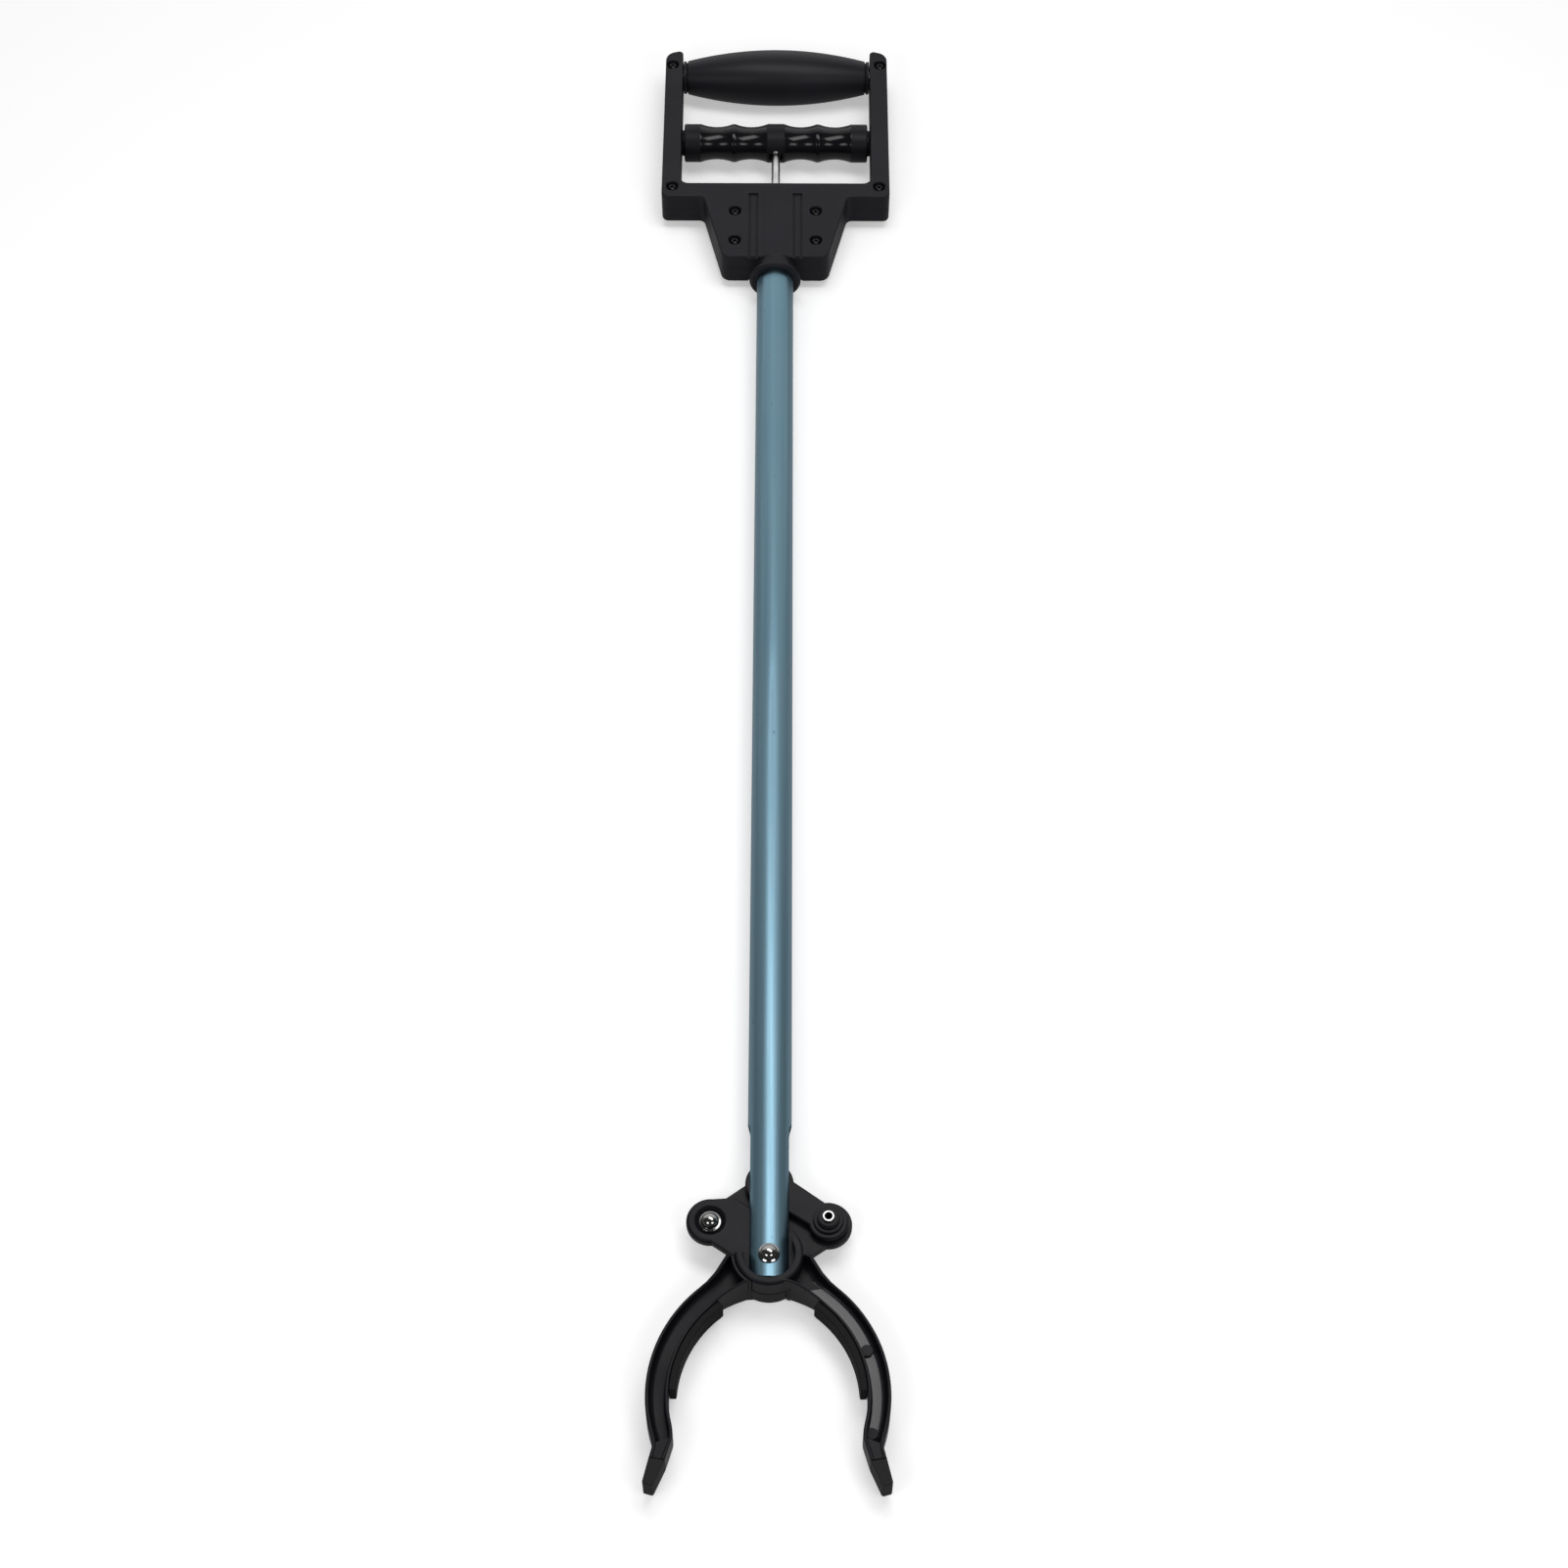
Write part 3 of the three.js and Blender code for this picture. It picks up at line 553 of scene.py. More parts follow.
PAD_RUBBER = rubber("pad_rubber", 0.008, 0.82)
CAP_RUBBER = rubber("cap_rubber", 0.009, 0.66)
TUBE_METAL = anodised()
NICKEL = metal("bright_nickel", 0.34, 0.09, lines=0.1, warm=0.95)
ZINC = metal("zinc_steel", 0.66, 0.24, lines=0.35, warm=1.0, stretch=(1, 0.05, 1))
PLAIN_STEEL = metal("plain_steel", 0.5, 0.32, lines=0.4)
SCREW_BLACK = metal("screw_black", 0.035, 0.24, lines=0.3)
# Nearly black metal that paints the shade inside the rivets' hollow ends.
BORE_PAINTED_SHADE = metal("bore_painted_shade", 0.03, 0.6)


# ---- tube ----
def tube():
    """Pipe with a slot for the jaws from its lower end, which is rounded about the pivot."""
    length = TUBE_TOP - TUBE_END
    bore = TUBE_R - TUBE_WALL
    lip = 0.35
    past = TUBE_R + 1  # how far the cutters reach out of the tube
    wall = [(bore, 0, lip), (TUBE_R, 0, lip), (TUBE_R, length, lip), (bore, length, lip)]
    pipe = moved(along_y(turned(wall, 128, closed=True)), y=TUBE_END)
    mouth = [Vector((side * SLOT_HALF, TUBE_END - 2)) for side in (-1, 1)]
    slot = spun(slab(arc(SLOT_HALF, 0, 180, (0, SLOT_TOP), 24) + mouth, -past, past), 90, "Y")
    pin_hole = rod(PIN_HOLE_R, -past, past)
    key_hole = moved(along_x(rod(KEY_HOLE_R, -past, past)), y=KEY_Y)
    wide = TUBE_R + 3
    deep = TUBE_END - 3
    beyond = [Vector(corner) for corner in ((-wide, 0), (-wide, deep), (wide, deep), (wide, 0))]
    round_end = slab(arc(-TUBE_END, 0, -180, steps=48) + beyond, -wide, wide)
    return cut(pipe, slot, round_end, pin_hole, key_hole)


finish_piece(tube(), "blue_tube", "frame", ["main_tube"], TUBE_METAL)

# ---- jaws ----
HUB_R = 16.8
CUP_R = 12.6  # inside of the rim that stands round the tube's end
HUB_HALF = 11.8  # half the rim's depth
ARM_HALF = 7.4  # half the arm's depth past its root
ARM_CENTRE = (-12, -69.8)
ARM_OUTER = 70.3
ARM_INNER = 59.2
EAR_R = 11.8
FLANGE = 1.9
WEB_HALF = 1.5
OUTER_FOOT = 3.2  # fillets from the flanges down to the web
INNER_FOOT = 0.8
SOLID = 30  # a web so deep that the section is solid
BOSS_R = 3
BOSS_TOP = WEB_HALF + 1.3
PAD_THICK = 3.4
PAD_HALF = 6.6
TONGUE_WIDE = 1.8  # half width and half depth of the tongue inside the tip cap
TONGUE_DEEP = 4.5
TONGUE_LONG = 11
CAP_IN = Vector((48, -102.3))
CAP_OUT = Vector((55.6, -101))
END_IN = Vector((53.6, -115))
END_OUT = Vector((58.6, -113.6))
CAP_AXIS = ((END_IN + END_OUT) - (CAP_IN + CAP_OUT)).normalized()
CAP_ACROSS = Vector((-CAP_AXIS.y, CAP_AXIS.x))
CAP_MIDDLE = (CAP_IN + CAP_OUT) / 2


def arm_depth(point):
    """Half depth of the arm: full beside the hub, tapering into the slimmer part."""
    share = (point.length - HUB_R - 1) / 19
    return HUB_HALF + (ARM_HALF - HUB_HALF) * max(0.0, min(1.0, share))


def quadratic(a, b, c, steps):
    """Points after a on the curve from a to c that leans towards b."""
    spots = []
    for step in range(1, steps + 1):
        t = step / steps
        spots.append(a * (1 - t) ** 2 + b * 2 * t * (1 - t) + c * t ** 2)
    return spots


def arm_rails():
    """Outer and inner edge of the arm, point for point, from inside the hub to the tip cap."""
    sweep = 44
    outer = [Vector(point) for point in ((13.6, -3.2), (18.4, 0.2), (20.7, -0.6), (26.2, -9.2))]
    inner = [Vector(point) for point in ((2.2, -13.2), (5.0, -14.6), (7.4, -14.9))]
    inner.append(polar(ARM_INNER, 67.5, ARM_CENTRE))
    outer += arc(ARM_OUTER, 53, -15, ARM_CENTRE, sweep)
    inner += arc(ARM_INNER, 64, -13, ARM_CENTRE, sweep)
    outer += quadratic(outer[-1], Vector((54.6, -92)), Vector((54.2, -95.5)), 6)
    elbow = Vector((44.2, -89.6))
    inner += quadratic(inner[-1], elbow + Vector((0.1, 0.6)), elbow + Vector((0.7, -2.2)), 6)
    for step in range(1, 4):
        outer.append(outer[-1].lerp(CAP_OUT, 1 / (4 - step)))
        inner.append(inner[-1].lerp(CAP_IN, 1 / (4 - step)))
    return outer, inner


def beam_loop(p, q, web):
    """I-beam section between the arm's two edges, with rounded flanges and filleted web."""
    width = (q - p).length
    along = (q - p) / width
    rim = 0.65

    def flange(foot):
        """(distance in, whether height is from the arm's face, height) down to the foot on the web."""
        side = [(rim * c, True, -rim * s) for c, s in quarter(3)]
        side += [(FLANGE - rim * s, True, -rim * c) for c, s in quarter(3)]
        return side + [(FLANGE + foot * c, False, foot * s) for c, s in quarter(5)]

    upper = flange(OUTER_FOOT) + [(width - s, level, z) for s, level, z in reversed(flange(INNER_FOOT))]
    loop = []
    for side in (1, -1):
        for s, at_rim, z in upper if side > 0 else reversed(upper):
            spot = p + along * s
            depth = arm_depth(spot)
            height = depth + z if at_rim else min(web + z, depth - 0.05)
            loop.append((spot.x, spot.y, side * height))
    return loop


def arm_beam():
    """The arm along its two edges: an I-beam that turns solid just before the tip cap."""
    outer, inner = arm_rails()
    count = len(outer)
    solid_from = count - 4
    loops = []
    for index, (p, q) in enumerate(zip(outer, inner)):
        web = WEB_HALF if index < solid_from else SOLID
        loops.append(beam_loop(p, q, web))
        if index == solid_from - 1:
            ahead = 0.28
            loops.append(beam_loop(p.lerp(outer[index + 1], ahead), q.lerp(inner[index + 1], ahead), SOLID))
    return loft(loops)


def tongue(half_wide, half_deep, back, length):
    """Flat bar that runs from the arm's end into the tip cap."""
    corners = [(-1, -back), (1, -back), (1, length), (-1, length)]
    outline = [CAP_MIDDLE + CAP_AXIS * along + CAP_ACROSS * side * half_wide for side, along in corners]
    return slab(outline, -half_deep, half_deep)


def lever():
    """Flat plate from the hub to the ear, with a countersunk seat for the rivet."""
    ear = (-EAR.x, EAR.y)
    corners = [
        (-EAR.x + 1, EAR.y + EAR_R - 0.3, 0),
        (-17.5, 32.2, 5),
        (-8, 26, 5),
        (0, 20.5, 0),
        (0, -5, 0),
        (-11.7, -2.9, 0),
        (-32.3, 11.3, 0),
    ]
    arm = slab(fillet(corners), SPLIT + 0.02, LAYER - 0.02, 0.2, 0.9)
    disc = moved(turned([(0, SPLIT), (EAR_R, SPLIT, 0.3), (EAR_R, LAYER, 1.7), (0, LAYER)], 96), *ear)
    rim_r = HUB_R - 0.07
    hub = turned([(0, SPLIT), (rim_r, SPLIT, 0.3), (rim_r, LAYER, 0.4), (0, LAYER)], 128)
    plate = unite(hub, arm, disc)
    seat = turned([(0, 2.2), (5.9, 2.2, 0.5), (7.9, LAYER + 0.1, 0), (0, LAYER + 0.1)], 96)
    return cut(plate, moved(seat, *ear), moved(rod(PIN_HOLE_R, -20, 20), *ear))


def rim_wedge():
    """Cutter for the rim where the lever crosses beside the tube; the rim's end slopes down to the lever."""
    side = [(0.4, HUB_HALF + 3), (0.4, HUB_HALF - 0.6), (2.6, LAYER), (20, LAYER), (20, HUB_HALF + 3)]
    loops = [[(x, y, z) for y, z in side] for x in (-20, TUBE_R + 0.4)]
    return loft(loops)


def hub_cup():
    """Deep rim that stands round the tube's open end, cut away beside the tube."""
    low = SPLIT + 0.4
    rim = [(CUP_R, low, 0), (HUB_R, low, 0), (HUB_R, HUB_HALF, 1.6), (CUP_R, HUB_HALF, 0.6)]
    ring = turned(rim, 128, closed=True)
    return cut(ring, rim_wedge())


def right_jaw():
    """Arm, hub rim and lever as one moulding; the arm's root is walled behind the left-hand hub."""
    arm = arm_beam()
    wall = []
    high = WEB_HALF - 0.3
    low = -HUB_HALF + 0.4
    for degrees in range(-58, -3, 3):
        spot_in = polar(HUB_R - 1.0, degrees)
        spot_out = polar(HUB_R + 1.5, degrees)
        wall.append([(*spot_in, low), (*spot_out, low), (*spot_out, high), (*spot_in, high)])
    arm = unite(arm, loft(wall))
    arm = cut(
        arm,
        rod(HUB_R + 0.4, -HUB_HALF - 3, SPLIT, 128),
        rod(CUP_R, LAYER, HUB_HALF + 3, 128),
        rim_wedge(),
    )
    boss = [(0, 0), (BOSS_R, 0), (BOSS_R, BOSS_TOP, 0.3), (0, BOSS_TOP)]
    middle = (ARM_OUTER + ARM_INNER) / 2 - 1.2
    bosses = [moved(turned(boss, 48), *polar(middle, degrees, ARM_CENTRE)) for degrees in (21.5, -16.5)]
    whole = unite(arm, hub_cup(), lever(), *bosses, tongue(TONGUE_WIDE, TONGUE_DEEP, 1, TONGUE_LONG))
    return cut(whole, rod(PIN_HOLE_R, -20, 20))


def mark_core(piece, side):
    """Gives the web's floor on one face of the arm the second, polished material."""
    for face in piece.data.polygons:
        spot = (face.center - PIVOT) / MM
        radius = (spot.xy - Vector((side * ARM_CENTRE[0], ARM_CENTRE[1]))).length
        flat = face.normal.z > 0.8 and WEB_HALF - 0.2 < spot.z < WEB_HALF + 0.5
        if flat and ARM_INNER + FLANGE < radius < ARM_OUTER - FLANGE and spot.xy.length > HUB_R + 9:
            face.material_index = 1


jaw_mesh = right_jaw()
left_jaw_mesh = half_turn(jaw_mesh)
right = finish_piece(jaw_mesh, "right_claw", "right_jaw_body", ["right_jaw"], JAW_PLASTIC,
                     extra=[POLISHED_CORE])
mark_core(right, 1)
finish_piece(left_jaw_mesh, "left_claw", "left_jaw_body", ["left_jaw"], JAW_PLASTIC)


def pad():
    """Rubber pad lining the arm, with softened rims and slightly drawn-in ends."""
    outer = ARM_INNER - 0.2
    inner = outer - PAD_THICK
    start, end, steps = 52.5, 2.2, 30
    loops = []
    section = fillet([
        (outer, -PAD_HALF, 0.3),
        (outer, PAD_HALF, 0.3),
        (inner, PAD_HALF, 0.9),
        (inner, -PAD_HALF, 0.9),
    ])
    for step in range(steps + 1):
        degrees = start + (end - start) * step / steps
        shrink = 0.94 if step in (0, steps) else 1.0
        loop = []
        for radius, height in section:
            spot = polar(outer + (radius - outer) * shrink, degrees, ARM_CENTRE)
            loop.append((spot.x, spot.y, height * (0.5 + shrink / 2)))
        loops.append(loop)
    return loft(loops)


finish_pair(pad(), "pad", "jaw", "grip_pad", PAD_RUBBER)


def tip_cap():
    """Hollow rubber cap over the arm's tongue."""
    corners = [
        (*(CAP_IN + CAP_AXIS * 0.04), 0.2),
        (*(CAP_OUT + CAP_AXIS * 0.04), 0.2),
        (*END_OUT, 1.2),
        (*END_IN, 1.2),
    ]
    shell = slab(fillet(corners, step_degrees=12), -ARM_HALF, ARM_HALF, 0.45, 0.45)
    play = 0.25
    return cut(shell, tongue(TONGUE_WIDE + play, TONGUE_DEEP + play, 2, TONGUE_LONG + play))


finish_pair(tip_cap(), "cap", "jaw", "tip_cap", CAP_RUBBER)


# ---- links ----
EAR_BOSS_TOP = LAYER + 3.4


def link():
    """Plate from the pivot it shares with the other link to the ear pin, with a stepped boss there."""
    length = EAR.length
    bar = slab(fillet([(0, -7.8), (length, -6.8), (length, 6.8), (0, 7.8)]), SPLIT, LAYER, 0.2, 0.8)
    parts = [
        (12, 0, LAYER, 0.9),
        (9.8, length, LAYER, 0.9),
        (7.4, length, LAYER + 1.6, 0.5),
        (5.6, length, EAR_BOSS_TOP, 0.5),
    ]
    discs = []
    for radius, x, top, rim in parts:
        profile = [(0, SPLIT), (radius, SPLIT, 0.2), (radius, top, rim), (0, top)]
        discs.append(moved(turned(profile, 96), x=x))
    whole = unite(discs[0], bar, *discs[1:])
    pivot_hole = rod(2.75, -1, 20)
    eye = moved(rod(PIN_R + 1.05, -1, 20), x=length)  # slack, as in the frame
    shaped = cut(whole, pivot_hole, eye)
    spun(shaped, -math.degrees(math.atan2(EAR.y, EAR.x)), "Z")
    return moved(shaped, y=LINK_TOP)


finish_pair(link(), "link_arm", "link", "link", JAW_PLASTIC)


# ---- rivets and pins ----
HOLLOW_R = 1.9  # bore of a rivet's hollow end
WASHER_R = 4.9


def dome(radius, base, rise, steps=8):
    """Profile of a domed head from its rim up to the axis."""
    return [
        (radius * math.cos(math.pi / 2 * i / steps), base + rise * math.sin(math.pi / 2 * i / steps))
        for i in range(steps + 1)
    ]


def ear_rivet():
    """Rivet with a domed head in front, and a washer and a hollow end at the back."""
    tail = ear_low.z
    bore_end = tail + 8
    washer_low = -EAR_BOSS_TOP - 0.7
    washer_high = -EAR_BOSS_TOP - 0.15
    head_r = 4.3
    head_base = 4.0
    shank = fillet([
        (0, bore_end),
        (HOLLOW_R, bore_end, 0),
        (HOLLOW_R, tail, 0.2),
        (PIN_R, tail, 0.35),
        (PIN_R, washer_low, 0),
        (WASHER_R, washer_low, 0.2),
        (WASHER_R, washer_high, 0.1),
        (PIN_R, washer_high, 0),
        (PIN_R, 2.5, 0),
        (5.5, 2.5, 0.2),
        (5.5, 3.5, 0.35),
        (head_r, 3.6, 0.1),
        (head_r, 3.9, 0),
    ], False, 15)
    profile = shank + dome(head_r, head_base, ear_high.z - head_base, 12)
    return moved(lathe(profile, 72), -EAR.x, EAR.y)


def mark_rivet(piece, side):
    """Painted shade inside the hollow end, and a black washer on it."""
    for face in piece.data.polygons:
        spot = (face.center - PIVOT) / MM
        radius = (spot.xy - Vector((side * EAR.x, EAR.y))).length
        depth = spot.z * side
        # Faces inside the hollow end get the painted shade.
        if radius < HOLLOW_R + 0.02 and depth > 0:
            face.material_index = 1
        elif radius > PIN_R + 0.05 and depth > LAYER + 3:
            face.material_index = 2


rivet_mesh = ear_rivet()
far_rivet_mesh = half_turn(rivet_mesh)
for mesh, own, other, side in ((rivet_mesh, "left", "right", -1), (far_rivet_mesh, "right", "left", 1)):
    nodes = [f"{own}_ear_rivet"]
    rivet = finish_piece(mesh, f"{own}_rivet", f"{other}_jaw_body", nodes, NICKEL,
                         extra=[BORE_PAINTED_SHADE, JAW_PLASTIC])
    mark_rivet(rivet, side)


def main_pin():
    """Pivot pin whose domed head sits on the tube, with a hollow end at the back."""
    head_r = 4.0
    head_base = 12.2
    skirt = fillet([(0, 8), (5.3, 8, 0), (5.3, 11.4, 0.5), (4.2, 11.9, 0.3), (head_r, 12.1, 0)], False, 15)
    saddle = along_y(rod(TUBE_R + 0.1, -10, 10, 128))
    head = cut(lathe(skirt + dome(head_r, head_base, pin_high.z - head_base, 12), 96), saddle)
    tail = pin_low.z
    shank = fillet([
        (0, -8),
        (HOLLOW_R, -8, 0),
        (HOLLOW_R, tail, 0.25),
        (4.1, tail, 0.4),
        (4.1, tail + 1.3, 0.3),
        (PIN_R, tail + 1.9, 0),
        (PIN_R, 12, 0),
        (0, 12),
    ], False, 15)
    return unite(head, lathe(shank, 96))


finish_piece(main_pin(), "jaw_pin", "frame", ["main_pivot_pin"], NICKEL)


# ---- pull train ----
def clevis():
    """Block in the tube that holds the links' pin in its fork and the rod in its bore."""
    radius = clevis_high.x
    low, high = clevis_low.y, clevis_high.y
    floor = high - 11
    body = turned([(0, low), (radius, low, 0.8), (radius, high, 0.8), (0, high)], 96)
    gap = LAYER + 0.25
    mouth = block(-20, 20, low - 1, floor, -gap, gap)
    pin_hole = moved(rod(2.7, -12, 12), y=LINK_TOP)
    bore = along_y(rod(ROD_R + 0.2, floor + 2, high + 1))
    return cut(along_y(body), mouth, pin_hole, bore)


def clevis_pin():
    """Plain cross pin of the two links."""
    low, high = node_box("clevis_pin")
    corners = [(0, low.z), (high.x, low.z, 0.4), (high.x, high.z, 0.4), (0, high.z)]
    return moved(turned(corners, 64), y=LINK_TOP)


finish_piece(clevis(), "clevis_block", "pull_train", ["rod_end_clevis"], GUIDE_PLASTIC)
finish_piece(clevis_pin(), "clevis_cross_pin", "pull_train", ["clevis_pin"], PLAIN_STEEL)


def pull_rod():
    """Bright rod with a rolled thread at its upper end."""
    top = rod_high.y
    thread_low = top - 16
    pitch = 0.8
    depth = 0.42
    steps = 120
    span = top - 0.5 - thread_low
    heights = [rod_low.y + 0.5, thread_low] + [thread_low + span * (i + 1) / steps for i in range(steps)]
    profile = [(0, rod_low.y), (ROD_R - 0.4, rod_low.y)]
    profile += [(ROD_R, height) for height in heights]
    profile += [(ROD_R - 0.5, top), (0, top)]

    def thread(turn, height):
        """How far the surface lies inside the rod's radius."""
        if height <= thread_low or height >= top - 0.4:
            return 0
        wave = (height / pitch - turn / (2 * math.pi)) % 1
        return -depth * abs(2 * wave - 1)

    return along_y(lathe(profile, 48, thread))


finish_piece(pull_rod(), "bright_rod", "pull_train", ["pull_rod"], ZINC)


def rod_nut():
    """Hexagon nut with chamfered corners."""
    low, high = node_box("rod_nut")
    across = high.x
    height = high.y - low.y
    chamfer = 0.6
    prism = slab([polar(across, 60 * i + 30) for i in range(6)], 0, height)
    dish = turned([
        (0, 0),
        (across - 0.7, 0, 0),
        (across, chamfer, 0),
        (across, height - chamfer, 0),
        (across - 0.7, height, 0),
        (0, height),
    ], 72)
    nut = cut(carve(prism, "INTERSECT", [dish]), rod(ROD_R + 0.15, -1, height + 1))
    return moved(along_y(nut), y=low.y)


finish_piece(rod_nut(), "locking_nut", "pull_train", ["rod_nut"], ZINC)


def coil_spring():
    """Compression spring round the rod, with its coils closer together towards both ends."""
    wire, radius, turns = 0.8, 6.4, 10
    closing = 0.072
    steps = turns * 28
    sides = 12
    low = spring_low.y + wire
    span = spring_high.y - wire - low
    section = [polar(wire, 360 * side / sides) for side in range(sides)]
    loops = []
    for step in range(steps + 1):
        share = step / steps
        turn = 2 * math.pi * turns * share
        height = low + span * (share - closing * math.sin(2 * math.pi * share))
        out = Vector((math.cos(turn), 0, math.sin(turn)))
        loops.append([out * (radius + spot.x) + Vector((0, height + spot.y, 0)) for spot in section])
    return loft(loops)


spring = finish_piece(coil_spring(), "return_coil", "frame", ["return_spring"], PLAIN_STEEL)
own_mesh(spring)


# ---- handle ----
RIDGE_HALF = 10.6
RIDGE_TOP = 12.4
RIDGE_R = 26
STRIP_WIDE = 6.0  # sunk strips beside the ridge, each with a rail in it
STRIP_DEEP = 1.4
NECK_LONG = 7.8  # round neck between the body and the tube's collar
NECK_R = 12.4
GROOVE_IN = 64.4  # floor of the grooves that guide the bar's ends
SCREW_SHANK_R = 1.5
SCREW_HEAD_R = 3.2


def shell_outline():
    """Body that widens in two steps, with a post at each side of the hand window."""
    return fillet([
        (POST_OUT, SHOULDER_Y, 4),
        (POST_OUT, POST_TOP - 2, 7),
        (POST_IN + 0.6, POST_TOP + 1, 2.5),
        (POST_IN, WINDOW_Y, 5),
        (-POST_IN, WINDOW_Y, 5),
        (-POST_IN - 0.6, POST_TOP + 1, 2.5),
        (-POST_OUT, POST_TOP - 2, 7),
        (-POST_OUT, SHOULDER_Y, 4),
        (-44.5, SHOULDER_Y, 4),
        (-32, HANDLE_Y, 6),
        (32, HANDLE_Y, 6),
        (44.5, SHOULDER_Y, 4),
    ], step_degrees=7.5)


def ridge():
    """Low round-backed ridge up the middle of the body, eased into the surface at its sides."""
    side = math.degrees(math.asin(RIDGE_HALF / RIDGE_R))
    top = arc(RIDGE_R, 90 - side, 90 + side, (0, RIDGE_TOP - RIDGE_R), 24)
    outline = [Vector((RIDGE_HALF, 1))] + top + [Vector((-RIDGE_HALF, 1))]
    fade_start = TUBE_TOP + 3.4
    fade_end = WINDOW_Y - 0.9
    stations = [(HANDLE_Y, 0.9), (HANDLE_Y + 0.3, 0.4), (HANDLE_Y + 0.9, 0.0), (fade_start, 0.0)]
    for step in range(1, 9):
        share = step / 8
        eased = share * share * (3 - 2 * share)
        drop = eased * (RIDGE_TOP - SHELL_HALF + 1.8)
        stations.append((fade_start + (fade_end - fade_start) * share, drop))
    return loft([[(p.x, y, p.y - drop if p.y > 2 else p.y) for p in outline] for y, drop in stations])


def screw_hole(with_head):
    """Cutters for one screw: a countersunk hole through the front half, a blind one in the rear half."""
    shank_r = SCREW_SHANK_R + 0.25
    if not with_head:
        return [rod(shank_r, -1, 8, 32)]
    mouth = turned([
        (0, SCREW_SEAT),
        (3.8, SCREW_SEAT, 0.3),
        (3.8, SHELL_HALF - 0.5, 0),
        (4.6, SHELL_HALF + 0.2, 0),
        (4.6, SHELL_HALF + 2),
        (0, SHELL_HALF + 2),
    ], 48)
    return [mouth, rod(shank_r, -1, SCREW_SEAT + 1, 32)]


def shell_half(with_heads):
    """Front half of the handle; the rear one is the same without the screws' mouths."""
    body = slab(shell_outline(), SPLIT, SHELL_HALF, 0.0, 1.1, steps=5)
    floor = SHELL_HALF - STRIP_DEEP
    near = RIDGE_HALF - 0.1
    far = RIDGE_HALF + STRIP_WIDE
    pocket = [(31, -3), (31, -33), (36.5, -14), (39.5, 5), (31, 5)]
    strips, rails, grooves, pockets = [], [], [], []
    for side in (-1, 1):
        x0, x1 = sorted((side * near, side * far))
        low, high = HANDLE_Y - 2, SHOULDER_Y + 3
        corners = [(x0, low, 0), (x1, low, 0), (x1, high, 0.8), (x0, high, 0.8)]
        strips.append(slab(fillet(corners), floor, SHELL_HALF + 2))
        x0, x1 = sorted((side * (near + 1.3), side * (far - 1.3)))
        rails.append(block(x0, x1, HANDLE_Y + 0.8, SHOULDER_Y + 1.4, floor - 1, floor + 0.8, 0.3, 0.3))
        x0, x1 = sorted((side * (POST_IN - 1), side * GROOVE_IN))
        grooves.append(block(x0, x1, BAR_Y - 7.9, BAR_Y + 29.0, -1, 4.2))
        hollow = fillet([(x, SHOULDER_Y + y, 2) for x, y in pocket])
        pockets.insert(0, slab([Vector((side * p.x, p.y)) for p in hollow], -1, SHELL_HALF - 2.4))
    holes = []
    for x, y in SCREW_SPOTS:
        holes += [moved(cutter, x, y) for cutter in screw_hole(with_heads)]
    neck_low = HANDLE_Y - NECK_LONG
    neck_high = NECK_LONG + 2
    neck_corners = [(0, 0), (NECK_R, 0, 0.3), (NECK_R, neck_high), (0, neck_high)]
    neck = moved(along_y(turned(neck_corners, 128)), y=neck_low)
    neck = cut(neck, block(-20, 20, neck_low - 5, HANDLE_Y + 10, -20, SPLIT))
    shaped = unite(cut(body, *strips), ridge(), neck, *rails)
    bore = along_y(rod(TUBE_R + 0.15, neck_low - 1, TUBE_TOP + 2.7, 128))
    rod_hole = along_y(rod(ROD_R + 0.6, HANDLE_Y, WINDOW_Y + 5, 64))
    spindle_hole = moved(along_x(rod(4.5, -63.8, 63.8, 64)), y=GRIP_Y)
    key_hole = moved(along_x(rod(KEY_HOLE_R, -18, 18, 48)), y=KEY_Y)
    return cut(shaped, bore, rod_hole, spindle_hole, key_hole, *pockets, *grooves, *holes)


SCREW_SPOTS = [screw_spot(number + 1) for number in range(SCREW_COUNT)]
front_mesh = shell_half(True)
rear_mesh = half_turn(shell_half(False))
finish_piece(front_mesh, "front_shell", "frame", ["front_handle_shell"], SHELL_PLASTIC)
finish_piece(rear_mesh, "rear_shell", "frame", ["rear_handle_shell"], SHELL_PLASTIC)


def shell_screw():
    """Screw with a domed head and a cross recess whose arms run inwards as they get deeper."""
    body = turned([
        (0, -7),
        (SCREW_SHANK_R, -6, 0),
        (SCREW_SHANK_R, SCREW_SEAT + 0.2, 0),
        (SCREW_HEAD_R, SCREW_SEAT + 0.2, 0.15),
        (SCREW_HEAD_R, SCREW_SEAT + 0.9, 0.5),
        (1.9, SCREW_SEAT + 2.0, 1.2),
        (0, SCREW_SEAT + 2.1),
    ], 48)
    reach, wide = 1.9, 0.42
    cross = []
    for degrees in (0, 90):
        loops = []
        for height, scale in ((SCREW_SEAT + 0.8, 0.45), (SCREW_SEAT + 3, 1.0)):
            x = reach * scale
            loops.append([(-x, -wide, height), (x, -wide, height), (x, wide, height), (-x, wide, height)])
        cross.append(spun(loft(loops), degrees, "Z"))
    return cut(body, *cross)


screw_mesh = shell_screw()
for index, (x, y) in enumerate(SCREW_SPOTS):
    one = spun(screw_mesh.copy(), 25 + 37 * index, "Z")
    name = f"shell_screw_{index + 1}"
    finish_piece(moved(one, x, y), f"cross_screw_{index + 1}", "frame", [name], SCREW_BLACK)


